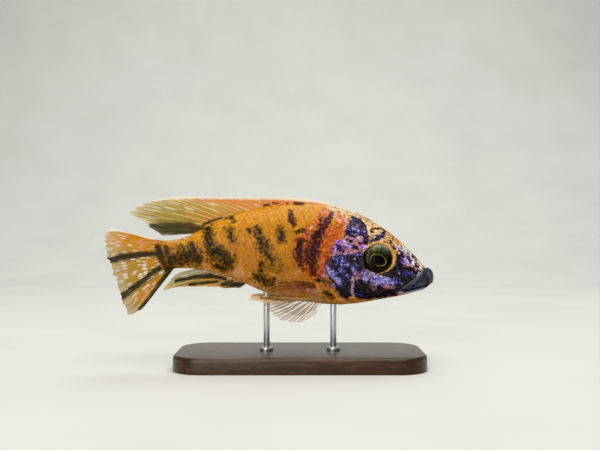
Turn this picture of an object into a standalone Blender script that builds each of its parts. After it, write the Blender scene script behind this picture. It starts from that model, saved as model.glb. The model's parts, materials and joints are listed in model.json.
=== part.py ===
"""A still, life-size model of a blotched peacock cichlid on a plain display stand.

The fish swims towards +X with its nose a little down and its tail swung towards -Y, the side that the
camera sees. +Z is up. The origin is the middle of the stand's underside. Sizes are in millimetres.
"""

import math

import bmesh
import bpy
import numpy as np

MM = 0.001
GAP = 0.3

# The trunk from tail root to snout: x, back height, belly height, half width
TRUNK = (
    (-50.9, 48.6, 37.8, 1.5),
    (-43.6, 50.3, 38.0, 2.5),
    (-36.8, 53.6, 37.2, 3.5),
    (-30.8, 56.6, 35.8, 4.6),
    (-23.3, 59.6, 33.0, 6.0),
    (-15.6, 61.3, 29.4, 7.2),
    (-7.8, 62.4, 26.9, 8.1),
    (0.0, 62.9, 25.3, 8.7),
    (10.0, 62.5, 24.0, 9.2),
    (17.5, 60.8, 23.8, 9.3),
    (23.4, 58.8, 24.4, 9.0),
    (31.2, 54.4, 25.8, 8.2),
    (39.0, 48.4, 27.2, 6.8),
    (46.8, 40.6, 29.2, 5.1),
    (51.2, 37.6, 30.6, 4.2),
)
TRUNK_RINGS = 28
SNOUT_RINGS = 10
AROUND = 36
NOSE_START = 44.0
NOSE_ROUNDNESS = 2.6
TAIL_SWING = 4.0
SWING_START = 5.0

# The cross-section is fuller and widest lower down towards the snout: values at the trunk and at the snout
CHEEK_X = (26.0, 50.0)
WIDEST_SHARE = (0.48, 0.40)
BACK_FULLNESS = (1.85, 1.95)
BELLY_FULLNESS = (2.15, 3.1)

# Where the trunk is parted
NAPE_X = 16.5
TAIL_X = -38.0

# The gill cover's outline from its top front corner round its rear edge, as x and z
GILL_OUTLINE = (
    (20.3, 45.5),
    (16.4, 48.0),
    (12.6, 44.7),
    (10.4, 40.8),
    (10.1, 36.8),
    (11.9, 32.6),
    (14.2, 28.6),
    (18.4, 26.4),
    (20.0, 30.0),
    (19.7, 38.0),
)
GILL_STEPS = 36
GILL_PROUD = 0.35
GILL_DEPTH = 1.9

# The eye leans with the head's side, which narrows forwards and upwards
EYE_CENTRE = (29.8, 42.0)
EYE_HALF_LENGTH = 5.6
EYE_HALF_HEIGHT = 5.4
EYE_HALF_DEPTH = 2.2
EYE_SINK = 0.9
EYE_LEAN = (0.12, 0.14)
EYE_FACETS = (24, 12)

NOSTRIL = (43.6, 42.3)
NOSTRIL_RADIUS = 0.7
NOSTRIL_FACETS = (10, 6)

# The mouth runs from its corners to the lips' front
MOUTH_CORNER = (38.9, 29.1)
MOUTH_RISE = 0.245
MOUTH_FAR_X = 60.0
CORNER_HALF_WIDTH = 5.0
JAW_HINGE = (36.8, 25.6)
JAW_UNDERSIDE = 18.0
UPPER_LIP = {"corner": (39.4, 30.0), "front": (50.4, 34.9), "height": (0.8, 2.8), "depth": (0.9, 1.8)}
LOWER_LIP = {"corner": (39.4, 28.1), "front": (49.8, 30.6), "height": (0.7, 1.0), "depth": (0.8, 1.4)}
LIP_STEPS = 22
LIP_SIDES = 10
LIP_END = 0.5

# Thickness at a fin's root and at its edge
MEMBRANE = (0.62, 0.5)
RAY = (1.3, 0.75)
RIDGE_SHARE = 0.24
FIN_LEVELS = 6
FIN_SINK = 1.2
SPINE_NOTCH = 0.10
RAY_NOTCH = 0.03

# Each fin's tips run from its first ray to its last: share of the way, x, z
DORSAL_RAYS = (16, 10)
DORSAL_ROOT_X = (15.4, -21.2, -38.6)
DORSAL_TIPS = (
    (0.00, 12.4, 62.6),
    (0.08, 6.4, 64.5),
    (0.20, -5.0, 65.7),
    (0.40, -16.4, 65.7),
    (0.60, -35.7, 65.7),
    (0.76, -51.8, 65.3),
    (0.84, -62.4, 62.3),
    (0.88, -65.7, 59.6),
    (0.92, -62.1, 56.9),
    (1.00, -53.2, 50.6),
)

CAUDAL_RAYS = 16
CAUDAL_ROOT = ((-49.4, 47.9), (-49.0, 38.5))
CAUDAL_TIPS = (
    (0.00, -72.9, 53.6),
    (0.10, -74.4, 52.1),
    (0.30, -74.7, 47.8),
    (0.45, -73.8, 42.5),
    (0.60, -71.4, 36.0),
    (0.75, -69.7, 29.8),
    (0.87, -68.0, 24.2),
    (0.95, -65.0, 20.1),
    (1.00, -61.2, 22.0),
)

ANAL_RAYS = (3, 8)
ANAL_ROOT_X = (-19.9, -37.2)
ANAL_TIPS = (
    (0.0, -23.5, 30.2),
    (0.1, -29.5, 30.1),
    (0.2, -35.6, 30.7),
    (0.3, -41.1, 30.8),
    (0.5, -49.3, 30.4),
    (0.6, -53.1, 29.5),
    (0.7, -51.2, 32.3),
    (0.9, -48.3, 35.4),
    (1.0, -46.3, 36.5),
)

# The side fins are given for the right side, as x, distance from the middle plane, z
PECTORAL_RAYS = 14
PECTORAL_ROOT = ((7.2, 6.4, 32.0), (9.8, 4.9, 27.6))
PECTORAL_TIPS = (
    (0.00, -5.5, 15.0, 34.6),
    (0.15, -11.8, 17.5, 33.4),
    (0.30, -14.4, 18.4, 29.6),
    (0.50, -13.2, 17.0, 23.9),
    (0.70, -6.6, 13.6, 18.9),
    (0.85, -0.2, 10.9, 17.7),
    (1.00, 5.9, 8.4, 20.4),
)
FAR_PECTORAL_SPREAD = 1.15

PELVIC_RAYS = 6
PELVIC_ROOT = ((8.4, 4.4, 26.9), (6.6, 1.4, 25.3))
PELVIC_TIPS = (
    (0.0, -9.0, 6.8, 24.6),
    (0.2, -20.0, 7.2, 26.3),
    (0.4, -18.4, 6.0, 27.3),
    (0.7, -13.0, 4.3, 27.0),
    (1.0, -6.0, 2.9, 25.6),
)

ROD_X = 13.0
ROD_RADIUS = 1.2
ROD_SIDES = 16
ROD_IN_BODY = 6.0
BASE_LENGTH = 96.0
BASE_WIDTH = 44.0
BASE_HEIGHT = 6.0
BASE_CORNER = 12.0
BASE_CORNER_STEPS = 6
BASE_CHAMFER = 1.2
BASE_SOCKET = 3.5

# A block wide and tall enough to part any of the trunk
ZONE_END = 90.0
ZONE_SIDE = 40.0

# Colour, roughness and metallic value of each finish
ORANGE = (0.78, 0.33, 0.03), 0.45, 0.0
FACE_BLUE = (0.10, 0.08, 0.30), 0.4, 0.1
LIP_SLATE = (0.07, 0.08, 0.12), 0.4, 0.0
EYE_DARK = (0.03, 0.03, 0.02), 0.08, 0.0
FIN_GOLD = (0.75, 0.42, 0.08), 0.4, 0.0
STAINED_WOOD = (0.09, 0.05, 0.03), 0.4, 0.0
STEEL = (0.6, 0.6, 0.62), 0.3, 1.0


def smooth(rows, x):
    """The values at x of the smooth curve through rows of (x, values...)."""
    rows = np.array(rows, float)
    keys = rows[:, 0]
    values = rows[:, 1:]
    slopes = np.gradient(values, keys, axis=0)
    i = int(np.clip(np.searchsorted(keys, x) - 1, 0, len(keys) - 2))
    span = keys[i + 1] - keys[i]
    t = float(np.clip((x - keys[i]) / span, 0, 1))
    start = values[i] * (1 + 2 * t) * (1 - t) ** 2 + slopes[i] * span * t * (1 - t) ** 2
    end = values[i + 1] * t * t * (3 - 2 * t) + slopes[i + 1] * span * t * t * (t - 1)
    return start + end


def swing(x):
    """How far the middle plane bends towards -Y at x."""
    if x > SWING_START:
        return 0.0
    reach = SWING_START - TRUNK[0][0]
    return -TAIL_SWING * ((SWING_START - x) / reach) ** 2


def section(x):
    """Back, belly and half width at x, rounded off at the nose."""
    back, belly, half_width = smooth(TRUNK, x)
    middle = (back + belly) / 2
    share = max(0.0, (x - NOSE_START) / (TRUNK[-1][0] - NOSE_START))
    rounding = math.sqrt(max(0.0, 1 - share**NOSE_ROUNDNESS))
    return middle + (back - middle) * rounding, middle + (belly - middle) * rounding, half_width * rounding


def fullness(x):
    """Where the section at x is widest, and how full it is above and below that."""
    return [float(np.interp(x, CHEEK_X, values)) for values in (WIDEST_SHARE, BACK_FULLNESS, BELLY_FULLNESS)]


def trunk_point(x, turn):
    """The skin's point at x, turned from the back (0) over the right side (a quarter) to the belly."""
    back, belly, half_width = section(x)
    widest_share, above, below = fullness(x)
    widest = belly + widest_share * (back - belly)
    rise = math.cos(2 * math.pi * turn)
    out = -math.sin(2 * math.pi * turn)
    power = 2 / (above if rise > 0 else below)
    reach = back - widest if rise > 0 else widest - belly
    height = math.copysign(abs(rise) ** power, rise) * reach
    y = math.copysign(abs(out) ** power, out) * half_width
    return x, y + swing(x), widest + height


def side_reach(x, z):
    """How far the skin stands from the middle plane at x and z."""
    back, belly, half_width = section(x)
    widest_share, above, below = fullness(x)
    widest = belly + widest_share * (back - belly)
    power = above if z > widest else below
    share = abs(z - widest) / (back - widest if z > widest else widest - belly)
    return half_width * max(0.0, 1 - share**power) ** (1 / power)


def make(name, points, faces):
    """A mesh object from points in millimetres, with its faces turned outwards."""
    mesh = bpy.data.meshes.new(name)
    mesh.from_pydata([[MM * value for value in point] for point in points], [], faces)
    shell = bmesh.new()
    shell.from_mesh(mesh)
    bmesh.ops.recalc_face_normals(shell, faces=shell.faces)
    if shell.calc_volume(signed=True) < 0:
        bmesh.ops.reverse_faces(shell, faces=shell.faces)
    shell.to_mesh(mesh)
    shell.free()
    made = bpy.data.objects.new(name, mesh)
    bpy.context.scene.collection.objects.link(made)
    return made


def loft(name, rings, first_tip, last_tip):
    """A closed skin over rings of equal count, ended in a point at both ends."""
    count = len(rings[0])
    points = [point for ring in rings for point in ring] + [first_tip, last_tip]
    faces = []
    for r in range(len(rings) - 1):
        for k in range(count):
            after = (k + 1) % count
            faces.append((r * count + k, r * count + after, (r + 1) * count + after, (r + 1) * count + k))
    last = (len(rings) - 1) * count
    for k in range(count):
        after = (k + 1) % count
        faces.append((len(points) - 2, after, k))
        faces.append((len(points) - 1, last + k, last + after))
    return make(name, points, faces)


def whole_body(name, swell=0.0):
    """The unparted fish from tail root to snout, its skin moved out by swell."""
    tail_end, snout_end = TRUNK[0][0], TRUNK[-1][0]
    trunk = np.linspace(tail_end, NOSE_START, TRUNK_RINGS, endpoint=False)
    snout = NOSE_START + (snout_end - NOSE_START) * np.sin(np.linspace(0, math.pi / 2, SNOUT_RINGS + 1))[:-1]
    rings = [[trunk_point(x, k / AROUND) for k in range(AROUND)] for x in (*trunk, *snout)]
    ends = [(x, swing(x), sum(section(x)[:2]) / 2) for x in (tail_end, snout_end)]
    body = loft(name, rings, *ends)
    if swell:
        normals = [vertex.normal.copy() for vertex in body.data.vertices]
        for vertex, normal in zip(body.data.vertices, normals):
            vertex.co += normal * swell * MM
    return body


def box(name, x, y, z):
    """A block between the given low and high values."""
    corners = [(a, b, c) for a in x for b in y for c in z]
    faces = [(0, 1, 3, 2), (4, 6, 7, 5), (0, 4, 5, 1), (2, 3, 7, 6), (0, 2, 6, 4), (1, 5, 7, 3)]
    return make(name, corners, faces)


def prism(name, outline, y):
    """An outline in x and z, drawn out between two y values."""
    count = len(outline)
    points = [(x, side, z) for side in y for x, z in outline]
    walls = [(k, (k + 1) % count, (k + 1) % count + count, k + count) for k in range(count)]
    return make(name, points, [tuple(range(count)), tuple(range(count, 2 * count)), *walls])


def closed_curve(points, steps):
    """The smooth closed curve through the points."""
    looped = [*points[-3:], *points, *points[:3]]
    rows = [(i - 3, *point) for i, point in enumerate(looped)]
    return [tuple(smooth(rows, k * len(points) / steps)) for k in range(steps)]


def grown(outline, by):
    """The closed outline moved outwards."""
    points = np.array(outline)
    along = np.roll(points, -1, axis=0) - np.roll(points, 1, axis=0)
    out = np.stack([along[:, 1], -along[:, 0]], axis=1) / np.linalg.norm(along, axis=1)[:, None]
    turned = np.sum(points[:, 0] * np.roll(points[:, 1], -1) - np.roll(points[:, 0], -1) * points[:, 1])
    return [tuple(point) for point in points + math.copysign(by, turned) * out]


def ellipsoid(name, centre, radii, segments, rings, lean=(0.0, 0.0)):
    """A rounded solid with its poles towards -Y and +Y, leaning in y with x and z."""
    levels = [math.pi * (r + 1) / rings for r in range(rings - 1)]
    turns = [2 * math.pi * k / segments for k in range(segments)]
    loops = []
    for level in levels:
        loop = []
        for turn in turns:
            along = radii[0] * math.sin(level) * math.cos(turn)
            up = radii[2] * math.sin(level) * math.sin(turn)
            out = radii[1] * math.cos(level) + lean[0] * along + lean[1] * up
            loop.append((centre[0] + along, centre[1] + out, centre[2] + up))
        loops.append(loop)
    poles = [(centre[0], centre[1] + side * radii[1], centre[2]) for side in (1, -1)]
    return loft(name, loops, *poles)


def lip(name, sizes, grow=0.0):
    """A lip that runs from corner to corner round the front of the mouth, tapering to its ends."""
    (corner_x, corner_z), (front_x, front_z) = sizes["corner"], sizes["front"]
    rings = []
    for step in range(LIP_STEPS + 1):
        turn = math.pi * (step / LIP_STEPS - 0.5)
        forward = math.cos(turn)
        side = math.sin(turn)
        centre = np.array(
            (
                corner_x + (front_x - corner_x) * forward,
                CORNER_HALF_WIDTH * side,
                corner_z + (front_z - corner_z) * forward,
            )
        )
        out = np.array((forward * CORNER_HALF_WIDTH, side * (front_x - corner_x), 0.0))
        out /= np.linalg.norm(out)
        height = np.interp(forward, (0, 1), sizes["height"]) + grow
        depth = np.interp(forward, (0, 1), sizes["depth"]) + grow
        ring = []
        for k in range(LIP_SIDES):
            around = 2 * math.pi * k / LIP_SIDES
            up = np.array((0, 0, height * math.sin(around)))
            ring.append(centre + out * depth * math.cos(around) + up)
        rings.append(ring)
    ends = [sum(ring) / LIP_SIDES - np.array((LIP_END + grow, 0, 0)) for ring in (rings[0], rings[-1])]
    return loft(name, rings, *ends)


def boolean(piece, other, operation):
    """Joins, cuts or keeps the common part of two solids, and removes the second."""
    modifier = piece.modifiers.new(operation, "BOOLEAN")
    modifier.operation = operation
    modifier.object = other
    modifier.solver = "EXACT"
    graph = bpy.context.evaluated_depsgraph_get()
    result = bpy.data.meshes.new_from_object(piece.evaluated_get(graph))
    piece.modifiers.clear()
    piece.data = result
    bpy.data.objects.remove(other)
    return piece


def keep_largest(piece):
    """Drops all but the largest closed surface of a piece."""
    shell = bmesh.new()
    shell.from_mesh(piece.data)
    shell.verts.ensure_lookup_table()
    unseen = set(shell.verts)
    islands = []
    while unseen:
        island, edge = set(), [next(iter(unseen))]
        while edge:
            vertex = edge.pop()
            if vertex in unseen:
                unseen.discard(vertex)
                island.add(vertex)
                edge.extend(link.other_vert(vertex) for link in vertex.link_edges)
        islands.append(island)
    largest = max(islands, key=len)
    bmesh.ops.delete(shell, geom=[v for v in shell.verts if v not in largest], context="VERTS")
    shell.to_mesh(piece.data)
    shell.free()


def finish(piece, name, look):
    """Names a piece, gives it its material and shades it smooth."""
    keep_largest(piece)
    piece.name = name
    piece.data.name = name
    colour, roughness, metallic = look
    material = bpy.data.materials.new(name)
    material.use_nodes = True
    shader = material.node_tree.nodes["Principled BSDF"]
    shader.inputs["Base Color"].default_value = (*colour, 1)
    shader.inputs["Roughness"].default_value = roughness
    shader.inputs["Metallic"].default_value = metallic
    piece.data.materials.clear()
    piece.data.materials.append(material)
    piece.data.shade_smooth()
    piece.data.set_sharp_from_angle(angle=math.radians(40))
    return piece


def fin_columns(rays):
    """The columns of a fin's sheet, each as its share of the way and whether a ray runs there."""
    columns = [(0.0, True)]
    for ray in range(rays - 1):
        columns.append(((ray + RIDGE_SHARE) / (rays - 1), False))
        columns.append(((ray + 1 - RIDGE_SHARE) / (rays - 1), False))
        columns.append(((ray + 1) / (rays - 1), True))
    return columns


def fin_normals(columns, roots, tips):
    """The way out of the sheet at each column, evened out over its neighbours."""
    raw = []
    for share, _ in columns:
        low = max(share - 0.01, 0.0)
        high = min(share + 0.01, 1.0)
        across = (tips(high) + roots(high) - tips(low) - roots(low)) / (high - low)
        raw.append(np.cross(across, tips(share) - roots(share)))
    raw = np.array(raw)
    evened = []
    for c in range(len(raw)):
        normal = raw[max(c - 3, 0) : c + 4].sum(axis=0)
        evened.append(normal / np.linalg.norm(normal))
    return evened


def fin(name, roots, tips, rays, notch):
    """A fin as one closed sheet, with its rays as ridges.

    roots and tips give a point for each share of the way from the first ray to the last, and notch says
    how far the membrane is cut back between the rays there.
    """
    columns = fin_columns(rays)
    levels = np.linspace(0, 1, FIN_LEVELS)
    front, back = [], []
    for (share, is_ray), normal in zip(columns, fin_normals(columns, roots, tips)):
        end = 1.0 if is_ray else 1.0 - notch(share)
        thick = RAY if is_ray else MEMBRANE
        for level in levels:
            middle = roots(share) * (1 - level * end) + tips(share) * level * end
            half = np.interp(level, (0, 1), thick) / 2
            front.append(middle + normal * half)
            back.append(middle - normal * half)

    rows = len(levels)
    size = len(front)
    faces = []
    for c in range(len(columns) - 1):
        for r in range(rows - 1):
            a = c * rows + r
            b = a + rows
            faces += [(a, b, b + 1), (a, b + 1, a + 1)]
            faces += [(size + a, size + b + 1, size + b), (size + a, size + a + 1, size + b + 1)]
    rim = [c * rows for c in range(len(columns))]
    rim += [(len(columns) - 1) * rows + r for r in range(1, rows)]
    rim += [c * rows + rows - 1 for c in range(len(columns) - 2, -1, -1)]
    rim += list(range(rows - 2, 0, -1))
    for here, after in zip(rim, [*rim[1:], rim[0]]):
        faces += [(here, after, size + after), (here, size + after, size + here)]
    return make(name, front + back, faces)


def clear_of_body(piece):
    """Cuts a fin back to the usual gap from the skin."""
    return boolean(piece, whole_body("clearance", GAP), "DIFFERENCE")


def in_plane(x, z):
    """A point of the fish's own bent middle plane."""
    return np.array((x, swing(x), z))


def make_trunk():
    """Head, torso and tail, parted by thin upright cuts."""
    half = GAP / 2
    lengths = {
        "tail": (-ZONE_END, TAIL_X - half),
        "torso": (TAIL_X + half, NAPE_X - half),
        "head": (NAPE_X + half, ZONE_END),
    }
    parts = {}
    for name, length in lengths.items():
        zone = box("zone", length, (-ZONE_SIDE, ZONE_SIDE), (0, ZONE_END))
        parts[name] = boolean(whole_body(name), zone, "INTERSECT")
    return parts


def make_gill_covers(parts):
    """The two gill covers, each a thin plate in a recess over the seam between head and torso."""
    outline = closed_curve(GILL_OUTLINE, GILL_STEPS)
    for side, y in (("left", (0.5, ZONE_SIDE)), ("right", (-ZONE_SIDE, -0.5))):
        for name in ("head", "torso"):
            floor = whole_body("floor", -GILL_DEPTH - GAP)
            recess = boolean(prism("recess", grown(outline, GAP), y), floor, "DIFFERENCE")
            boolean(parts[name], recess, "DIFFERENCE")
        plate = boolean(prism("plate", outline, y), whole_body("outside", GILL_PROUD), "INTERSECT")
        boolean(plate, whole_body("inside", -GILL_DEPTH), "DIFFERENCE")
        finish(plate, f"gill_cover_{side}", FACE_BLUE)


def jaw_side():
    """The lower jaw's side outline: below the line of the mouth and in front of the hinge."""
    corner_x, corner_z = MOUTH_CORNER
    far_z = corner_z + MOUTH_RISE * (MOUTH_FAR_X - corner_x)
    underside = [(MOUTH_FAR_X, JAW_UNDERSIDE), (JAW_HINGE[0], JAW_UNDERSIDE)]
    return [MOUTH_CORNER, (MOUTH_FAR_X, far_z), *underside, JAW_HINGE]


def make_mouth(parts):
    """The lips and the lower jaw, with the line of the mouth between them."""
    head = parts["head"]
    across = (-ZONE_SIDE, ZONE_SIDE)
    jaw = boolean(whole_body("jaw"), prism("jaw_zone", jaw_side(), across), "INTERSECT")
    boolean(jaw, lip("lower_roll", LOWER_LIP), "UNION")
    boolean(jaw, lip("upper_clearance", UPPER_LIP, GAP), "DIFFERENCE")
    boolean(head, prism("jaw_room", grown(jaw_side(), GAP), across), "DIFFERENCE")
    boolean(head, lip("lower_room", LOWER_LIP, GAP), "DIFFERENCE")
    boolean(head, lip("upper_room", UPPER_LIP, GAP), "DIFFERENCE")
    finish(jaw, "lower_jaw", LIP_SLATE)
    finish(lip("upper", UPPER_LIP), "upper_lip", LIP_SLATE)


def make_eyes_and_nostrils(parts):
    """An eye in its socket and a nostril on each side of the head."""
    head = parts["head"]
    x, z = EYE_CENTRE
    nostril_x, nostril_z = NOSTRIL
    for side, sign in (("left", 1), ("right", -1)):
        centre = (x, sign * (side_reach(x, z) - EYE_SINK), z)
        radii = np.array((EYE_HALF_LENGTH, EYE_HALF_DEPTH, EYE_HALF_HEIGHT))
        lean = [-sign * share for share in EYE_LEAN]
        boolean(head, ellipsoid("socket", centre, radii + GAP, *EYE_FACETS, lean), "DIFFERENCE")
        finish(ellipsoid("ball", centre, radii, *EYE_FACETS, lean), f"eye_{side}", EYE_DARK)
        pit = (nostril_x, sign * side_reach(nostril_x, nostril_z), nostril_z)
        boolean(head, ellipsoid("pit", pit, [NOSTRIL_RADIUS] * 3, *NOSTRIL_FACETS), "DIFFERENCE")


def middle_fin(name, roots, tip_rows, rays, notch):
    """A fin in the fish's middle plane, between root points and the smooth curve through its tips."""

    def tips(share):
        return in_plane(*smooth(tip_rows, share))

    return finish(clear_of_body(fin(name, roots, tips, rays, notch)), f"{name}_fin", FIN_GOLD)


def make_dorsal_fin():
    """The long dorsal fin: hard spines in front, then soft rays that trail over the tail."""
    spines, soft = DORSAL_RAYS
    rays = spines + soft
    keys = (0, (spines - 1) / (rays - 1), 1)

    def roots(share):
        x = np.interp(share, keys, DORSAL_ROOT_X)
        return in_plane(x, smooth(TRUNK, x)[0] - FIN_SINK)

    def notch(share):
        return SPINE_NOTCH if share < keys[1] else RAY_NOTCH

    middle_fin("dorsal", roots, DORSAL_TIPS, rays, notch)


def make_caudal_fin():
    """The tail fin, fanned and turned a little down."""

    def roots(share):
        return in_plane(*(np.array(CAUDAL_ROOT[0]) * (1 - share) + np.array(CAUDAL_ROOT[1]) * share))

    middle_fin("caudal", roots, CAUDAL_TIPS, CAUDAL_RAYS, lambda share: RAY_NOTCH)


def make_anal_fin():
    """The anal fin, folded back under the tail."""
    spines, soft = ANAL_RAYS
    last_spine = (spines - 1) / (spines + soft - 1)

    def roots(share):
        x = np.interp(share, (0, 1), ANAL_ROOT_X)
        return in_plane(x, smooth(TRUNK, x)[1] + FIN_SINK)

    def notch(share):
        return SPINE_NOTCH if share < last_spine else RAY_NOTCH

    middle_fin("anal", roots, ANAL_TIPS, spines + soft, notch)


def side_fin(name, side, root, tip_rows, rays, spread=1.0):
    """A paired fin, given for the right side and turned over for the left."""
    sign = 1 if side == "left" else -1

    def placed(x, out, z):
        return np.array((x, sign * out + swing(x), z))

    def roots(share):
        return placed(*(np.array(root[0]) * (1 - share) + np.array(root[1]) * share))

    def tips(share):
        x, out, z = smooth(tip_rows, share)
        return placed(x, root[0][1] + (out - root[0][1]) * spread, z)

    made = fin(name, roots, tips, rays, lambda share: RAY_NOTCH)
    finish(clear_of_body(made), f"{name}_fin_{side}", FIN_GOLD)


def base_outline(radius, z):
    """The plinth's rectangle with round corners, at one height."""
    half_length = BASE_LENGTH / 2 - BASE_CORNER
    half_width = BASE_WIDTH / 2 - BASE_CORNER
    loop = []
    for quarter, (sign_x, sign_y) in enumerate(((1, 1), (-1, 1), (-1, -1), (1, -1))):
        for step in range(BASE_CORNER_STEPS + 1):
            turn = math.pi / 2 * (quarter + step / BASE_CORNER_STEPS)
            x = sign_x * half_length + radius * math.cos(turn)
            y = sign_y * half_width + radius * math.sin(turn)
            loop.append((x, y, z))
    return loop


def make_stand(parts):
    """A flat plinth with two rods that run up into the belly."""
    levels = (
        (BASE_CORNER, 0.0),
        (BASE_CORNER, BASE_HEIGHT - BASE_CHAMFER),
        (BASE_CORNER - BASE_CHAMFER, BASE_HEIGHT),
    )
    base = loft("base", [base_outline(*level) for level in levels], (0, 0, 0), (0, 0, BASE_HEIGHT))
    for name, x in (("front", ROD_X), ("rear", -ROD_X)):
        y = swing(x)
        low = BASE_HEIGHT - BASE_SOCKET
        high = section(x)[1] + ROD_IN_BODY
        socket = cylinder("socket", x, y, low - GAP, BASE_HEIGHT + 1, ROD_RADIUS + GAP)
        boolean(base, socket, "DIFFERENCE")
        hole = cylinder("hole", x, y, low, high + GAP, ROD_RADIUS + GAP)
        boolean(parts["torso"], hole, "DIFFERENCE")
        finish(cylinder("rod", x, y, low, high, ROD_RADIUS), f"stand_rod_{name}", STEEL)
    finish(base, "stand_base", STAINED_WOOD)


def cylinder(name, x, y, low, high, radius):
    """An upright round rod."""
    turns = [2 * math.pi * k / ROD_SIDES for k in range(ROD_SIDES)]
    ring = [(x + radius * math.cos(turn), y + radius * math.sin(turn)) for turn in turns]
    rings = [[(*point, z) for point in ring] for z in (low, high)]
    return loft(name, rings, (x, y, low), (x, y, high))


def main():
    for old in list(bpy.data.objects):
        bpy.data.objects.remove(old)
    parts = make_trunk()
    make_gill_covers(parts)
    make_mouth(parts)
    make_eyes_and_nostrils(parts)
    make_stand(parts)
    make_dorsal_fin()
    make_caudal_fin()
    make_anal_fin()
    for side, spread in (("left", FAR_PECTORAL_SPREAD), ("right", 1.0)):
        side_fin("pectoral", side, PECTORAL_ROOT, PECTORAL_TIPS, PECTORAL_RAYS, spread)
        side_fin("pelvic", side, PELVIC_ROOT, PELVIC_TIPS, PELVIC_RAYS)
    finish(parts["head"], "head", FACE_BLUE)
    finish(parts["torso"], "torso", ORANGE)
    finish(parts["tail"], "tail", ORANGE)


main()
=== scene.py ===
# %% [markdown]
# # A blotched peacock cichlid on a plain stand
#
# This lesson dresses a still, life-size fish model: a blotched peacock cichlid, 127 mm from lips to tail
# tip, held over a wooden base by two steel rods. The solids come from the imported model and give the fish's
# size and shape. Here the fish gets one seamless skin, nearly two thousand overlapping scales, thin fins
# with branching rays, wet eyes and its own pattern of blotches.
#
# The fish swims towards +X and shows its right side, which faces -Y, to the camera. Sizes are in
# millimetres and are turned to metres when a mesh is made.

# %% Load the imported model
import json
import math

import bpy
import numpy as np
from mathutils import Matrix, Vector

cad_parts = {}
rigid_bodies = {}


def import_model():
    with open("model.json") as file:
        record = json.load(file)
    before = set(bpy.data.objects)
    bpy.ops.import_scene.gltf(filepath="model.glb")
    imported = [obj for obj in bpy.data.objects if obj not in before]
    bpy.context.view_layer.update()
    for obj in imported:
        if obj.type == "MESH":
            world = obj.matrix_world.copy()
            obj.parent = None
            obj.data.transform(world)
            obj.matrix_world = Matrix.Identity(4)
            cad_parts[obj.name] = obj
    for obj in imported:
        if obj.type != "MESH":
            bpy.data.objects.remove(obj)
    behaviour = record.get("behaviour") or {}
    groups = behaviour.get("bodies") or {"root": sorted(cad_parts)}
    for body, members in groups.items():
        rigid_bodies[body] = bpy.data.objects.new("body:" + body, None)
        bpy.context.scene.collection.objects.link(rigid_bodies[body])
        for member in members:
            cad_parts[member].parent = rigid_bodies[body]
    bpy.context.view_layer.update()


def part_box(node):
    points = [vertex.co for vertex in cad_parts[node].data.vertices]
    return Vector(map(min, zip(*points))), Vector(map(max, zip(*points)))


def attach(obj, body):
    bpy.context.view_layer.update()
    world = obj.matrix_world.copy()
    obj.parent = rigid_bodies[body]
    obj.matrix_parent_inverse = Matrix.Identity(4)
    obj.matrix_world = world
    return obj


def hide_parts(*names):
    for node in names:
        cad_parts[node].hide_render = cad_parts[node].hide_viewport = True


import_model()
bpy.ops.object.select_all(action="DESELECT")
MM = 0.001
SIDES = ("right", "left")
rng = np.random.default_rng(11)

# %% [markdown]
# Photographs give colours as the screen shows them. Light adds up in linear values, so each colour is
# written as a hex code and turned by one function. A second small function adds a node to a material
# with its settings and links, so that each material below reads as a list of what it is made of.

# %% Colour and node helpers
def linear(code):
    """A hex colour as linear red, green, blue and 1."""
    parts = [int(code[i : i + 2], 16) / 255 for i in (1, 3, 5)]
    parts = [p / 12.92 if p <= 0.04045 else ((p + 0.055) / 1.055) ** 2.4 for p in parts]
    return (*parts, 1.0)


def add(tree, kind, settings=None, links=None):
    """Adds a shader node, such as "Math ADD" with its operation, and gives it its settings and links.

    A link comes from a socket, from a node's first output or, by its name, from a value on the points.
    """
    kind, *operation = kind.split()
    node = tree.nodes.new("ShaderNode" + kind)
    if operation:
        node.operation = operation[0]
    for name, value in (settings or {}).items():
        if name == "stops":
            ramp = node.color_ramp.elements
            while len(ramp) < len(value):
                ramp.new(0.5)
            for stop, (place, code) in zip(ramp, value):
                stop.position = place
                stop.color = linear(code)
        elif isinstance(name, int) or name in node.inputs:
            node.inputs[name].default_value = value
        else:
            setattr(node, name, value)
    for socket, source in (links or {}).items():
        if isinstance(source, str):
            source = add(tree, "Attribute", {"attribute_name": source}).outputs["Fac"]
        elif isinstance(source, bpy.types.Node):
            source = source.outputs[0]
        tree.links.new(source, node.inputs[socket])
    return node


def empty_material(name):
    """A material with no nodes yet, and its tree."""
    material = bpy.data.materials.new(name)
    material.use_nodes = True
    material.node_tree.nodes.clear()
    return material, material.node_tree


print("middle grey in linear light:", round(linear("#808080")[0], 3))

# %% [markdown]
# The trunk's sizes are the same named stations that the solids have: x, the height of the back, the
# height of the belly and half the width, from tail root to lips. At the tail end the skin thins out into
# the fin, and at the snout it is drawn out to the lips. Behind the gills the tail swings a little to -Y.

# %% The trunk's sizes
TRUNK = (
    (-54.5, 48.3, 37.3, 0.12),
    (-50.9, 48.6, 37.8, 1.5),
    (-43.6, 50.3, 38.0, 2.5),
    (-36.8, 53.6, 37.2, 3.5),
    (-30.8, 56.6, 35.8, 4.6),
    (-23.3, 59.6, 33.0, 6.0),
    (-15.6, 61.3, 29.4, 7.2),
    (-7.8, 62.4, 26.9, 8.1),
    (0.0, 62.9, 25.3, 8.7),
    (10.0, 62.5, 24.0, 9.2),
    (17.5, 60.8, 23.8, 9.3),
    (23.4, 58.8, 24.4, 9.0),
    (31.2, 54.4, 25.8, 8.2),
    (39.0, 48.4, 27.2, 6.8),
    (46.8, 40.5, 29.2, 5.2),
    (48.5, 38.6, 29.7, 4.9),
    (51.7, 38.2, 30.8, 4.4),
)
NOSE_START = 48.5
NOSE_ROUNDNESS = 2.6
TAIL_SWING = 4.0
SWING_START = 5.0
SWING_REACH = 55.9
CHEEK_X = (26.0, 50.0)
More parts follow.
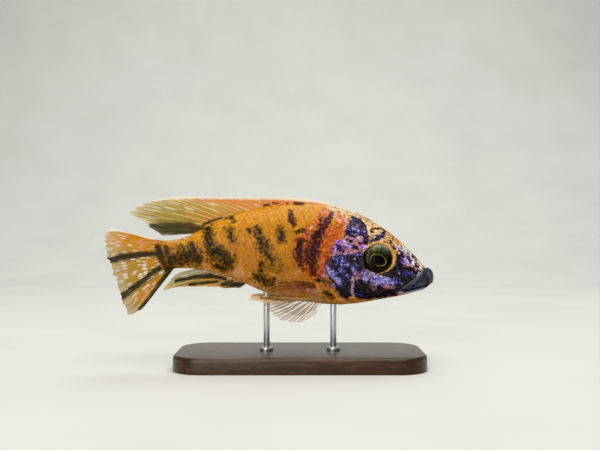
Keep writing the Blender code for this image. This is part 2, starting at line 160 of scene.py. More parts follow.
WIDEST_SHARE = (0.48, 0.40)
BACK_FULLNESS = (1.85, 1.95)
BELLY_FULLNESS = (2.15, 3.1)
print("length of the trunk in mm:", round(TRUNK[-1][0] - TRUNK[0][0], 1))

# %% [markdown]
# A smooth curve runs through the stations. Each cross section is an oval that is widest below its middle,
# and it is fuller at the belly than at the back. From the body to the snout its widest place moves down
# and its belly gets squarer, which is what the two values of each pair say.

# %% The trunk's shape
def smooth(rows, x):
    """The values at each x of the smooth curve through rows of (x, values...)."""
    rows = np.array(rows, float)
    keys, values = rows[:, 0], rows[:, 1:]
    slopes = np.gradient(values, keys, axis=0)
    x = np.clip(np.asarray(x, float), keys[0], keys[-1])
    i = np.clip(np.searchsorted(keys, x) - 1, 0, len(keys) - 2)
    span = (keys[i + 1] - keys[i])[..., None]
    t = (x - keys[i])[..., None] / span
    start = values[i] * (1 + 2 * t) * (1 - t) ** 2 + slopes[i] * span * t * (1 - t) ** 2
    end = values[i + 1] * t * t * (3 - 2 * t) + slopes[i + 1] * span * t * t * (t - 1)
    return start + end


def swing(x):
    """How far the middle plane bends towards -Y at x."""
    return -TAIL_SWING * (np.clip(SWING_START - np.asarray(x, float), 0, None) / SWING_REACH) ** 2


def section(x):
    """Back, belly and half width at x, rounded off at the nose."""
    back, belly, half_width = np.moveaxis(smooth(TRUNK, x), -1, 0)
    middle = (back + belly) / 2
    share = np.clip((np.asarray(x, float) - NOSE_START) / (TRUNK[-1][0] - NOSE_START), 0, 1)
    rounding = np.sqrt(1 - share**NOSE_ROUNDNESS)
    return middle + (back - middle) * rounding, middle + (belly - middle) * rounding, half_width * rounding


def trunk_points(x, turn):
    """Points of the trunk at x, turned from the back (0) over the right side (a quarter) to the belly."""
    back, belly, half_width = section(x)
    share, above, below = [np.interp(x, CHEEK_X, v) for v in (WIDEST_SHARE, BACK_FULLNESS, BELLY_FULLNESS)]
    widest = belly + share * (back - belly)
    rise = np.cos(2 * np.pi * turn)
    out = -np.sin(2 * np.pi * turn)
    power = 2 / np.where(rise > 0, above, below)
    reach = np.where(rise > 0, back - widest, widest - belly)
    y = np.sign(out) * np.abs(out) ** power * half_width + swing(x)
    z = widest + np.sign(rise) * np.abs(rise) ** power * reach
    return np.stack(np.broadcast_arrays(x, y, z), axis=-1)


print("half width at the gills in mm:", round(float(section(17.5)[2]), 2))

# %% [markdown]
# The small forms and the markings are sums and products of three soft shapes: a value read from a short
# table, a step with a soft slope, and a ridge. They work on whole arrays of points at once.

# %% Tables, steps and ridges
def table(rows, place):
    """The value at each place of a table of (place, value) rows, on straight lines between them."""
    return np.interp(place, *np.array(rows).T)


def step(low, high, value):
    """0 below low, 1 above high, and a soft slope between."""
    t = np.clip((value - low) / (high - low), 0, 1)
    return t * t * (3 - 2 * t)


def band(limits, value):
    """A band of 1 that rises between the first two limits and falls between the last two."""
    return step(limits[0], limits[1], value) * step(limits[3], limits[2], value)


def ridge(distance, width):
    """A soft ridge, 1 in its middle."""
    return np.exp(-((distance / width) ** 2))


print("a ridge one width away from its middle:", round(float(ridge(1.0, 1.0)), 2))

# %% [markdown]
# The skin's rings stand close together at the lips, where the forms are small, and farther apart along
# the body. A table of spacings gives their places, and the nose's rounding is cut in even angles.

# %% Where the rings of the skin stand
AROUND = 320
RING_SPACING = ((-54.5, 0.80), (-8.0, 0.66), (12.0, 0.44), (24.0, 0.30), (44.0, 0.25), (48.5, 0.18))
NOSE_RINGS = 44
RING_SAMPLES = 4000


def ring_places():
    """The x of every ring, from the nose back to the tail."""
    fine = np.linspace(TRUNK[0][0], NOSE_START, RING_SAMPLES)
    density = 1 / table(RING_SPACING, fine)
    count = np.concatenate([[0], np.cumsum((density[1:] + density[:-1]) / 2 * np.diff(fine))])
    trunk = np.interp(np.linspace(0, count[-1], int(count[-1]) + 1), count, fine)
    nose = NOSE_START + (TRUNK[-1][0] - NOSE_START) * np.sin(np.linspace(0, np.pi / 2, NOSE_RINGS + 1)[1:])
    return np.concatenate([trunk, nose])[::-1]


RING_X = ring_places()
print("rings:", len(RING_X))

# %% [markdown]
# A fish's head is full of small forms: thick lips with the line of the mouth between them, nostrils, the
# bony rim of the eye, the cheek's edge and the gill cover with its thin free rim. Their lines and centres
# are (x, z) places in the side view, the same as in the solids.

# %% Lines and centres of the head's forms
MOUTH_CORNER = (38.9, 29.1)
MOUTH_SLOPE = 0.245
LIP_TOP = (
    (38.7, 29.2), (39.4, 30.7), (41.3, 32.3), (42.8, 33.4),
    (44.7, 34.7), (46.2, 36.5), (47.7, 38.1), (52.2, 38.9),
)
GILL_EDGE = (
    (18.4, 26.1), (15.3, 27.3), (13.2, 29.9), (12.3, 32.3), (10.6, 35.3),
    (9.9, 38.4), (10.6, 41.4), (12.5, 44.5), (15.6, 47.9), (17.1, 49.8),
)
CHEEK_EDGE = (
    (21.0, 45.5), (19.8, 40.7), (19.4, 36.6), (19.5, 32.7), (20.3, 29.6), (23.4, 28.0), (30.0, 28.2),
)
THROAT_FOLD = ((15.3, 27.1), (19.0, 26.0), (26.0, 26.2), (33.0, 27.6), (38.0, 28.0))
JAW_FOLD = ((39.0, 29.2), (36.6, 29.6), (34.4, 31.6))
CHEEKBONE = ((40.6, 33.6), (37.6, 32.8), (34.2, 34.2), (30.0, 34.6), (25.6, 36.2))
EYE = (29.8, 42.0)
EYE_RADII = (5.6, 5.45)
NOSTRIL = (43.6, 42.3)
PORES = (
    (24.5, 34.9), (27.3, 33.6), (30.6, 33.2), (33.8, 34.2), (36.6, 36.4),
    (22.2, 37.8), (39.3, 39.4), (36.9, 45.4), (33.4, 49.4),
)


def to_segment(start, end, x, z):
    """For each point, the nearest share of the way from start to end, and the distance to it."""
    dx, dz = end[0] - start[0], end[1] - start[1]
    t = np.clip(((x - start[0]) * dx + (z - start[1]) * dz) / (dx * dx + dz * dz), 0, 1)
    return t, np.hypot(x - start[0] - t * dx, z - start[1] - t * dz)


def line_distance(line, x, z):
    """Distance in the side view to a line of (x, z) points."""
    return np.minimum.reduce([to_segment(start, end, x, z)[1] for start, end in zip(line, line[1:])])


def ahead_of_gill(x, z):
    """How far a point lies in front of the gill cover's free edge; below 0 is behind it."""
    edge_x, edge_z = np.array(GILL_EDGE).T
    slope = np.gradient(edge_x, edge_z)
    return (x - np.interp(z, edge_z, edge_x)) / np.hypot(1, np.interp(z, edge_z, slope))


def over_mouth(x, z):
    """Height over the line of the mouth."""
    return z - MOUTH_CORNER[1] - MOUTH_SLOPE * (x - MOUTH_CORNER[0])


def mouth_shares(x, z):
    """Height over the mouth, its share of the upper lip's height there, and that height."""
    above, top = over_mouth(x, z), over_mouth(x, table(LIP_TOP, x))
    return above, above / np.clip(top, 0.3, None), top


def eye_distance(x, z):
    """1 on the eye's rim, less inside it and more outside."""
    return np.hypot((x - EYE[0]) / EYE_RADII[0], (z - EYE[1]) / EYE_RADII[1])


print("upper lip's height in mm:", round(float(mouth_shares(45.0, 35.0)[2]), 2))

# %% [markdown]
# Each form is a height over the plain trunk, from its distance to a line or a centre. Pairs below are a
# height or depth and a half width, in millimetres, but round the eye and under the lower lip the width is
# a share of their size. The heights are added up, so the forms flow together without a seam.

# %% Heights of the head's forms
MOUTH_GROOVE = (0.85, 0.18)
UPPER_LIP = ((38.7, 0.0), (41.0, 0.32), (45.0, 0.5), (47.5, 0.42), (50.0, 0.35))
UPPER_LIP_FOLD = (0.30, 0.3)
LOWER_LIP = 0.42
LOWER_LIP_WIDTH = ((39.0, 1.3), (44.0, 1.6), (50.0, 1.2))
LOWER_LIP_FOLD = (0.22, 0.25)
CHIN_SET_BACK = 0.9
GILL_RIM = 0.52
GILL_RIM_FADE = 7.0
GILL_FOLDS = ((-0.45, -0.42, 0.5), (0.8, 0.12, 0.35))
FOLDS = (
    (CHEEK_EDGE, (0.0, 0.0), -0.36, 0.36),
    (CHEEK_EDGE, (0.9, 0.35), 0.22, 0.6),
    (THROAT_FOLD, (0.0, 0.0), -0.30, 0.32),
    (JAW_FOLD, (0.0, 0.0), -0.36, 0.5),
    (CHEEKBONE, (0.0, 0.0), -0.20, 0.45),
)
EYE_SEAT_DEPTH = 1.9
EYE_RIM = (0.26, 0.055)
EYE_SWELL = (0.30, 0.35)
NOSTRIL_RIM = (0.16, 0.22)
NOSTRIL_PIT = (0.85, 0.4)
PORE = (0.16, 0.26)


def bulge(share):
    """A round swelling between shares 0 and 1, and nothing outside them."""
    return np.sqrt(np.clip(4 * share * (1 - share), 0, 1))


def lip_forms(x, z):
    """Two thick lips, the mouth's groove between them and a fold where each meets the face."""
    above, share, top = mouth_shares(x, z)
    at_mouth = step(38.6, 39.6, x)
    height = -MOUTH_GROOVE[0] * ridge(above, MOUTH_GROOVE[1]) * step(39.0, 40.2, x)
    height += table(UPPER_LIP, x) * bulge(share) * at_mouth
    height -= UPPER_LIP_FOLD[0] * ridge((share - 1) * top, UPPER_LIP_FOLD[1]) * at_mouth
    lower = -above / table(LOWER_LIP_WIDTH, x)
    height += LOWER_LIP * bulge(lower) * at_mouth
    height -= LOWER_LIP_FOLD[0] * ridge(lower - 1, LOWER_LIP_FOLD[1]) * at_mouth
    return height - CHIN_SET_BACK * step(0.0, -0.5, above) * step(47.5, 50.5, x)


def gill_forms(x, z):
    """The gill cover's raised free rim, the groove behind it and a faint fold before it."""
    ahead = ahead_of_gill(x, z)
    beside = band((25.6, 26.8, 48.6, 50.5), z) * step(30.0, 24.0, x)
    height = GILL_RIM * step(-0.05, 0.28, ahead) * np.exp(-np.clip(ahead, 0, None) / GILL_RIM_FADE)
    for place, rise, width in GILL_FOLDS:
        height += rise * ridge(ahead - place, width)
    return height * beside


def eye_forms(x, z):
    """The eye's sunk seat, the sharp rim round it and a wide low swelling."""
    eye = eye_distance(x, z)
    swell = EYE_SWELL[0] * ridge(eye - 1.0, EYE_SWELL[1]) * step(0.95, 1.05, eye)
    return swell + EYE_RIM[0] * ridge(eye - 1.075, EYE_RIM[1]) - EYE_SEAT_DEPTH * step(1.02, 0.9, eye)


def relief(x, z):
    """Height of the head's small forms over the plain trunk, in millimetres."""
    height = lip_forms(x, z) + gill_forms(x, z) + eye_forms(x, z)
    for line, (ahead, up), rise, width in FOLDS:
        height += rise * ridge(line_distance(line, x - ahead, z - up), width)
    nostril = np.hypot(x - NOSTRIL[0], z - NOSTRIL[1])
    height += NOSTRIL_RIM[0] * ridge(nostril - 0.72, NOSTRIL_RIM[1])
    height -= NOSTRIL_PIT[0] * ridge(nostril, NOSTRIL_PIT[1])
    for pore_x, pore_z in PORES:
        height -= PORE[0] * ridge(np.hypot(x - pore_x, z - pore_z), PORE[1])
    return height


print("upper lip stands out in mm:", round(float(relief(45.0, 33.0)), 2))

# %% [markdown]
# The markings are blotches, streaks and bands that no two fish share. Each is a line of (x, z, half
# width) points in the side view, listed under the name of its colour. The body has dark blotches
# with olive round them, and red and maroon bands behind the head.

# %% Where the body's marks are
MARKS = {
    "dark": (
        ((-49.1, 42.1, 2.3), (-46.0, 41.7, 2.7), (-42.2, 43.6, 2.9), (-39.5, 42.0, 2.3)),
        ((-41.4, 46.6, 1.7), (-40.6, 43.2, 2.3)),
        ((-54.8, 46.4, 1.1), (-53.8, 43.6, 1.5), (-52.2, 40.2, 1.7), (-50.4, 36.9, 1.7)),
        ((-51.4, 46.0, 1.2), (-50.2, 42.4, 2.0), (-49.2, 38.8, 2.0)),
        ((-36.0, 56.0, 1.4), (-35.4, 51.0, 1.7), (-34.6, 46.4, 1.9), (-33.2, 42.4, 2.0)),
        ((-31.2, 45.2, 1.9), (-28.6, 42.6, 2.3)),
        ((-33.1, 44.8, 1.9), (-29.8, 42.8, 2.7), (-27.4, 40.5, 2.5)),
        ((-32.3, 39.0, 1.5), (-28.4, 37.8, 1.3)), ((-26.7, 57.8, 0.8), (-25.4, 56.2, 0.7)),
        ((-26.9, 53.0, 0.8), (-26.6, 50.6, 1.0), (-26.0, 48.4, 0.8)),
        ((-30.4, 58.6, 0.5), (-28.8, 58.1, 0.6)), ((-20.0, 53.2, 0.6), (-19.1, 51.8, 0.6)),
        ((-29.9, 57.6, 0.5), (-27.9, 57.4, 0.5)),
        ((-16.2, 52.8, 1.5), (-14.9, 48.8, 2.0), (-13.2, 45.8, 2.4), (-11.7, 42.4, 1.2)),
        ((-14.9, 40.6, 0.8), (-14.9, 37.5, 1.1)),
        ((-16.8, 34.8, 1.1), (-14.2, 33.6, 1.7), (-11.1, 31.7, 1.3), (-9.9, 34.1, 0.8)),
        ((-7.5, 52.8, 1.4), (-7.0, 49.4, 1.7)), ((-1.4, 52.0, 0.8), (1.3, 52.7, 0.8)),
        ((-13.6, 62.1, 0.4), (-11.7, 62.3, 0.4)), ((-10.1, 63.1, 0.3), (-7.8, 63.0, 0.3)),
        ((-2.3, 62.7, 0.4), (1.2, 62.7, 0.5)), ((8.0, 57.2, 0.7), (8.2, 56.2, 0.5)),
        ((9.8, 29.2, 1.0), (12.0, 27.2, 1.1)), ((5.5, 33.8, 0.6), (10.5, 33.4, 0.9)),
        ((-11.4, 43.0, 0.6), (-10.4, 39.5, 0.5)), ((-21.4, 60.9, 0.3), (-20.2, 61.1, 0.3)),
    ),
    "olive": (
        ((-11.6, 43.5, 1.1), (-10.2, 38.5, 1.2)), ((-7.9, 41.5, 0.9), (-7.1, 37.3, 0.9)),
        ((-16.8, 35.2, 2.3), (-11.5, 32.1, 2.7)), ((-32.1, 45.1, 3.0), (-28.4, 39.8, 3.0)),
        ((-25.2, 42.9, 1.1), (-25.7, 39.0, 1.1)), ((-35.6, 55.1, 1.9), (-33.7, 46.7, 2.3)),
        ((-27.2, 53.4, 1.9), (-25.6, 49.0, 2.0)), ((-29.6, 38.6, 1.6), (-25.6, 39.4, 1.6)),
        ((-10.4, 42.4, 1.5), (-8.2, 37.4, 1.5)), ((-46.0, 45.1, 2.3), (-39.9, 40.5, 3.0)),
        ((-13.3, 40.6, 1.5), (-12.2, 38.3, 1.5)),
    ),
    "maroon": (
        ((0.4, 48.6, 1.5), (-0.8, 44.5, 1.7), (0.0, 40.3, 1.5), (1.1, 38.4, 1.0)),
        ((6.8, 50.5, 2.1), (4.9, 45.6, 2.7), (4.6, 40.7, 2.3), (5.3, 36.5, 1.3)),
        ((-3.9, 60.1, 0.7), (-3.1, 57.0, 1.2), (-2.3, 54.7, 1.0)), ((2.3, 45.2, 1.1), (3.0, 40.7, 1.1)),
    ),
    "streak": (
        ((12.3, 59.1, 0.9), (10.2, 55.9, 1.5), (8.2, 53.0, 1.8), (6.4, 50.4, 1.5)),
        ((6.1, 49.0, 1.1), (4.9, 43.3, 1.3)), ((0.4, 47.5, 0.9), (-0.4, 43.7, 1.0)),
    ),
    "red": (
        (
            (17.0, 58.6, 1.6), (15.8, 54.6, 2.4), (13.6, 50.6, 2.8),
            (11.6, 47.0, 2.5), (10.6, 43.0, 1.8), (10.2, 40.0, 1.2),
        ),
        ((6.9, 55.8, 2.3), (9.6, 58.9, 2.3)), ((2.3, 50.5, 1.9), (3.8, 53.2, 1.9)),
        ((8.3, 41.5, 2.3), (6.8, 35.3, 2.5)), ((10.4, 53.5, 2.2), (9.2, 48.6, 2.2), (8.4, 41.8, 2.0)),
        ((0.0, 49.0, 2.3), (0.0, 40.7, 2.5)), ((2.2, 50.4, 2.0), (2.6, 42.0, 2.2), (3.6, 36.4, 1.8)),
        ((-3.8, 31.0, 1.6), (5.7, 29.5, 2.0)), ((-28.0, 32.2, 1.1), (-23.3, 30.2, 1.1), (-19.5, 29.0, 1.1)),
    ),
    "rose": (
        ((12.8, 58.9, 0.7), (14.4, 57.6, 0.8), (15.4, 55.9, 0.5)),
        ((16.8, 58.6, 0.8), (17.8, 56.2, 0.7), (17.6, 53.4, 0.6), (16.8, 51.6, 0.4)),
        ((8.4, 59.8, 0.5), (10.6, 59.7, 0.5)), ((11.0, 61.6, 0.5), (14.2, 60.9, 0.6)),
        ((3.4, 53.4, 0.6), (4.6, 53.8, 0.6)), ((12.6, 44.9, 0.5), (11.4, 43.0, 0.5)),
        ((9.8, 41.0, 0.6), (9.2, 37.6, 0.8), (9.3, 34.4, 0.8)),
        ((-2.4, 31.2, 0.8), (1.4, 30.4, 1.2), (6.6, 29.4, 1.4)),
    ),
    "magenta": (
        ((11.0, 42.2, 0.9), (9.6, 38.4, 1.3), (8.9, 34.2, 1.6), (10.4, 31.4, 1.0)),
        ((-4.2, 57.4, 0.6), (-3.4, 55.1, 0.6)), ((2.4, 51.6, 0.9), (4.0, 50.2, 0.9)),
        ((2.4, 46.6, 0.7), (2.6, 42.4, 0.7)), ((12.0, 32.8, 0.7), (13.4, 30.6, 0.6)),
    ),
}
print("marks on the body:", sum(len(lines) for lines in MARKS.values()))

# %% [markdown]
# The face has many more colours in small pieces: a cream forehead with brown and dark patches, a gold ring
# round the eye, and blue, violet and pink over a black cheek.

# %% Where the face's marks are
MARKS |= {
    "cream": (
        (
            (11.6, 61.7, 1.1), (17.5, 60.4, 2.3), (23.2, 58.0, 2.9),
            (28.6, 54.5, 3.7), (32.8, 51.2, 3.6), (35.8, 48.6, 2.7),
        ),
        ((40.1, 45.4, 2.5), (43.7, 42.3, 2.3), (46.3, 39.3, 1.7), (45.7, 36.7, 0.8)),
        ((44.7, 34.9, 0.8), (46.0, 36.6, 1.2), (47.2, 38.0, 0.9)), ((26.0, 52.0, 2.3), (29.1, 50.5, 1.9)),
    ),
    "gold": (
        ((-52.4, 48.4, 0.6), (-47.0, 48.8, 0.9), (-42.0, 50.6, 0.8)),
        ((33.4, 51.9, 0.9), (36.2, 49.6, 1.4), (38.4, 47.9, 1.2)), ((22.6, 59.0, 0.6), (26.6, 57.2, 0.8)),
        (
            (24.3, 45.6, 0.6), (26.3, 47.5, 0.7), (29.8, 48.6, 0.8), (33.7, 47.6, 0.8),
            (35.9, 45.0, 0.6), (36.2, 42.1, 0.4), (35.5, 38.9, 0.6), (34.5, 36.9, 0.4),
        ),
        ((27.4, 48.6, 0.5), (30.6, 49.2, 0.6), (33.4, 48.4, 0.6)),
        ((27.0, 35.9, 0.4), (30.4, 35.6, 0.4), (33.5, 36.4, 0.4)), ((24.2, 57.2, 0.5), (27.8, 55.4, 0.6)),
    ),
    "pink": (
        ((13.9, 46.6, 1.9), (17.5, 47.2, 2.5), (21.6, 46.3, 2.2), (24.9, 45.9, 1.5)),
        ((16.8, 49.4, 1.0), (19.6, 49.3, 1.2), (22.2, 49.8, 1.2), (23.9, 49.0, 1.0)),
        ((20.8, 56.8, 1.5), (19.4, 53.4, 2.3), (20.4, 51.0, 2.2)),
        ((23.2, 56.2, 1.4), (24.2, 52.6, 2.0), (25.0, 49.4, 1.6)),
        ((24.6, 36.4, 1.6), (28.5, 34.0, 2.4), (34.4, 32.2, 1.8)),
        ((12.6, 44.2, 1.4), (18.0, 44.6, 1.7), (24.6, 45.2, 1.4)), ((20.9, 37.0, 0.8), (21.9, 34.2, 0.9)),
        ((12.4, 32.2, 0.6), (13.0, 30.8, 0.6)), ((19.8, 35.0, 0.7), (20.1, 31.4, 0.7), (19.9, 28.6, 0.6)),
        ((25.6, 35.6, 0.7), (26.6, 33.6, 0.7)), ((32.2, 31.8, 0.9), (35.8, 30.6, 1.0)),
        ((38.7, 30.2, 0.6), (40.0, 28.5, 0.8)),
        ((38.4, 42.4, 0.8), (39.4, 40.2, 1.0), (41.8, 38.9, 1.0), (44.4, 37.9, 0.8)),
        ((25.0, 28.4, 0.7), (30.4, 27.7, 0.7), (36.4, 28.4, 0.8)), ((38.8, 32.2, 0.5), (40.2, 31.2, 0.5)),
    ),
    "indigo": (
        ((20.7, 57.0, 0.9), (20.0, 54.6, 1.5), (18.6, 52.2, 1.6)),
        ((22.6, 57.0, 0.8), (23.4, 54.8, 1.4), (24.4, 52.0, 1.3), (25.5, 49.6, 1.2), (24.9, 48.3, 0.9)),
        ((20.0, 52.8, 1.5), (22.8, 52.6, 1.4)), ((18.9, 50.9, 0.9), (21.0, 50.6, 0.7)),
        ((27.2, 48.1, 0.7), (29.1, 49.3, 1.0), (30.6, 50.4, 1.25), (32.0, 51.0, 1.0)),
        ((14.6, 46.4, 0.9), (16.2, 45.0, 1.0)), ((19.8, 46.5, 0.5), (21.7, 46.0, 0.6)),
        ((17.9, 49.2, 0.5), (19.5, 48.6, 0.6)), ((22.5, 47.9, 0.5), (23.6, 47.6, 0.4)),
        ((38.8, 43.4, 0.6), (39.8, 42.2, 0.5)), ((44.5, 39.1, 0.5), (45.5, 38.4, 0.55)),
        ((37.9, 42.8, 0.6), (37.6, 40.6, 0.7), (38.4, 39.4, 0.7)),
    ),
    "black": (
        ((40.7, 42.5, 0.45), (41.9, 42.0, 0.5), (42.4, 40.4, 0.45)),
        ((12.5, 41.3, 1.5), (15.9, 41.6, 1.8), (19.7, 42.2, 1.6), (24.3, 42.9, 1.9)),
        ((12.1, 39.2, 1.3), (15.2, 37.4, 1.9), (17.1, 35.4, 1.9)),
        ((14.4, 31.2, 1.0), (16.4, 28.6, 1.3), (18.0, 27.1, 0.8)), ((23.5, 39.2, 1.5), (22.3, 40.7, 1.3)),
        ((23.4, 31.8, 2.2), (25.2, 28.9, 2.2), (30.8, 27.8, 1.7), (36.8, 28.8, 1.6)),
        ((37.0, 35.6, 2.3), (40.9, 35.2, 2.6), (41.3, 32.9, 2.1), (38.3, 31.4, 1.7)),
        ((38.6, 37.6, 1.3), (42.6, 37.0, 1.3)), ((30.2, 31.0, 0.8), (31.2, 29.2, 1.1)),
        ((26.0, 33.2, 0.5), (25.9, 31.3, 0.8)),
    ),
    "lilac": (
        ((36.9, 46.2, 0.8), (39.8, 44.6, 1.9), (42.8, 42.2, 2.1), (45.0, 39.4, 1.3), (45.6, 37.4, 0.5)),
        ((16.4, 49.0, 0.35), (17.2, 48.4, 0.4)), ((45.0, 35.2, 0.4), (46.4, 36.8, 0.6), (47.6, 38.2, 0.5)),
        ((21.8, 50.1, 0.35), (22.6, 49.7, 0.35)),
        ((10.5, 39.2, 0.35), (10.9, 37.0, 0.4), (12.6, 34.7, 0.45), (14.8, 32.4, 0.35)),
        ((26.7, 36.7, 0.4), (30.4, 35.2, 0.55), (34.8, 33.8, 0.45)),
        ((20.0, 34.8, 0.3), (20.1, 31.4, 0.35), (19.8, 28.6, 0.35)), ((28.6, 33.3, 0.4), (29.8, 31.9, 0.4)),
        ((20.3, 38.2, 0.35), (20.8, 37.0, 0.35)),
    ),
    "sky": (
        ((10.8, 38.4, 0.6), (11.6, 36.5, 0.9), (13.1, 34.9, 0.9), (14.5, 33.5, 0.8), (15.5, 32.0, 0.6)),
        ((12.7, 37.7, 0.6), (13.9, 36.2, 0.7)), ((15.5, 42.0, 0.4), (16.9, 40.6, 0.7), (17.9, 39.4, 0.6)),
        ((19.8, 38.9, 0.5), (20.6, 37.2, 0.5)), ((24.1, 36.2, 1.1), (25.0, 33.7, 1.1)),
        ((26.9, 35.3, 0.9), (28.9, 34.1, 1.3), (29.7, 32.5, 0.9)),
        ((31.3, 33.7, 1.0), (33.3, 33.1, 1.1), (35.2, 32.6, 0.7)), ((17.2, 36.1, 0.4), (18.3, 35.1, 0.45)),
        ((17.5, 47.4, 0.5), (18.8, 46.7, 0.5)), ((15.0, 45.6, 0.4), (15.8, 44.8, 0.4)),
        ((40.1, 41.7, 0.9), (41.6, 40.1, 1.0)), ((12.7, 31.9, 0.4), (13.3, 31.2, 0.4)),
    ),
    "orchid": (
        ((14.3, 48.3, 0.7), (15.8, 47.5, 0.6)), ((23.5, 46.7, 0.6), (25.4, 45.9, 0.6)),
        ((13.0, 46.6, 0.5), (13.3, 45.3, 0.5)), ((21.8, 49.0, 0.4), (22.6, 48.6, 0.4)),
        ((16.6, 43.9, 0.4), (17.6, 43.6, 0.4)), ((22.2, 43.9, 0.5), (23.2, 43.5, 0.5)),
    ),
    "navy": (
        ((40.4, 36.6, 0.7), (43.2, 35.6, 0.7)), ((36.2, 33.0, 0.7), (38.4, 32.0, 0.8)),
        ((15.0, 37.9, 0.8), (15.9, 37.4, 0.8)), ((22.6, 28.6, 0.9), (27.0, 27.6, 0.8)),
        ((37.4, 38.0, 0.7), (38.8, 38.6, 0.6)),
    ),
    "brown": (
        ((27.4, 52.9, 0.35), (29.4, 53.3, 0.4), (31.4, 53.3, 0.4), (32.9, 52.4, 0.4)),
        ((27.1, 52.4, 0.3), (28.2, 51.6, 0.35)), ((34.1, 48.9, 0.5), (35.5, 47.9, 0.55)),
        ((35.0, 46.6, 0.4), (36.2, 45.6, 0.4)), ((43.5, 42.8, 0.55), (44.9, 41.7, 0.6)),
        ((38.2, 44.9, 0.3), (39.3, 44.2, 0.3)), ((14.3, 59.8, 0.35), (15.0, 59.4, 0.35)),
        ((18.9, 58.7, 0.3), (19.8, 58.2, 0.35)), ((22.5, 57.9, 0.3), (23.4, 57.6, 0.3)),
        ((38.6, 39.4, 0.45), (40.2, 39.0, 0.4), (41.9, 38.3, 0.5), (43.6, 37.8, 0.5)),
        ((39.0, 41.2, 0.35), (39.4, 40.2, 0.35)), ((45.1, 37.5, 0.4), (46.0, 36.9, 0.35)),
        ((37.2, 44.4, 0.35), (37.0, 42.6, 0.4), (36.8, 41.0, 0.35)), ((41.4, 44.2, 0.3), (42.4, 43.4, 0.3)),
        ((41.9, 31.4, 0.4), (43.4, 31.6, 0.3)),
    ),
    "rust": (
        ((21.2, 36.3, 0.7), (22.5, 35.4, 1.0), (22.3, 33.9, 0.7)), ((27.4, 30.7, 0.7), (29.0, 29.8, 0.7)),
        ((32.8, 31.0, 0.5), (34.4, 30.5, 0.6)), ((34.8, 47.0, 0.5), (36.4, 45.8, 0.6)),
        ((13.6, 30.0, 0.5), (15.0, 28.9, 0.5)),
    ),
    "violet": (
        ((14.6, 46.4, 0.8), (16.2, 45.0, 0.8)), ((17.2, 47.6, 0.6), (19.0, 46.6, 0.6)),
        ((13.3, 42.7, 1.2), (17.0, 40.7, 1.9)),
        ((10.6, 39.9, 1.0), (11.4, 36.9, 1.3), (13.7, 34.2, 1.2), (15.3, 32.1, 1.0)),
        ((15.5, 37.6, 1.9), (17.5, 34.6, 1.7)), ((19.7, 39.2, 1.5), (20.2, 36.6, 1.1)),
        ((21.2, 43.2, 1.0), (23.1, 43.5, 0.8)), ((24.1, 36.4, 1.4), (24.8, 33.8, 1.2)),
        ((26.8, 35.5, 1.1), (29.2, 33.2, 1.5)), ((31.2, 33.9, 1.2), (34.6, 32.8, 1.2)),
        ((40.3, 41.5, 0.8), (41.4, 40.3, 0.8)), ((35.8, 34.1, 0.9), (38.0, 32.5, 1.1)),
        ((37.8, 36.9, 1.0), (42.4, 36.2, 1.0)), ((19.6, 54.1, 1.3), (22.9, 52.4, 1.5)),
    ),
}
FACE_OUTLINE = (
    (13.2, 43.3), (15.6, 44.0), (18.4, 43.7), (21.4, 44.2), (24.4, 44.7), (24.9, 43.6), (29.8, 40.0),
    (34.6, 37.9), (36.2, 39.2), (36.9, 41.4), (37.3, 43.2), (38.4, 43.6), (38.9, 41.6), (39.8, 39.9),
    (42.4, 38.8), (44.7, 37.7), (45.6, 36.6), (45.0, 34.7), (41.4, 31.9), (39.4, 29.6), (38.0, 28.2),
    (33.0, 27.3), (26.0, 26.2), (22.6, 26.3), (21.0, 27.4), (20.3, 29.2), (19.6, 27.4), (18.0, 26.4),
    (15.4, 27.6), (13.4, 30.4), (12.0, 33.0), (10.4, 36.2), (10.1, 39.0), (11.0, 41.4),
)
FACE_SOFTNESS = 2.0
ORBIT_WIDTH = (
    (-180, -0.1), (-120, 0.0), (-60, 0.06), (-20, 0.12), (50, 0.13),
    (100, 0.19), (130, 0.12), (155, -0.05), (180, -0.1),
)
ORBIT_SOFTNESS = 0.2
print("marks in all:", sum(len(lines) for lines in MARKS.values()))

# %% [markdown]
# The skin and the scales get the same markings from the same lines, as values on their points, and the
# materials then break up the edges with noise. The far side has the same marks pushed about by a slow
# wave, as a real fish's two sides are alike but never the same. The gold ring round the eye is widest
# above it and fades out behind it, so its width is a table over the angle.

# %% Measure the marks at any point
def inside(outline, x, z):
    """How far each point lies inside a closed outline; below 0 is outside."""
    nearest = line_distance((*outline, outline[0]), x, z)
    crossings = np.zeros(x.shape, int)
    for (x1, z1), (x2, z2) in zip(outline, (*outline[1:], outline[0])):
        spans = (z1 > z) != (z2 > z)
        meets = x1 + (z - z1) * (x2 - x1) / (z2 - z1 if z1 != z2 else 1e-9)
        crossings += spans & (x < meets)
    return np.where(crossings % 2 == 1, nearest, -nearest)


def covered(lines, x, z):
    """How well lines of (x, z, half width) cover each point: 1 in the middle, a half at the edge."""
    best = np.zeros(x.shape)
    for line in lines:
        for start, end in zip(line, line[1:]):
            t, distance = to_segment(start, end, x, z)
            best = np.maximum(best, 1 - distance / (2 * (start[2] + t * (end[2] - start[2]))))
    return best


def far_side(x, y, z):
    """Side-view places for the markings, pushed about by up to 2 mm on the far side."""
    away = step(-1.5, 1.5, y - swing(x)) * step(44.0, 34.0, x)
    return x + away * 1.5 * np.sin(z * 0.25 + 1.0), z + away * 1.8 * np.sin(x * 0.19 + 2.0)


def set_values(mesh, values):
    """Stores named values on a mesh's points."""
    for name, value in values.items():
        layer = mesh.attributes.new(name, "FLOAT", "POINT")
        layer.data.foreach_set("value", np.ascontiguousarray(value, np.float32))


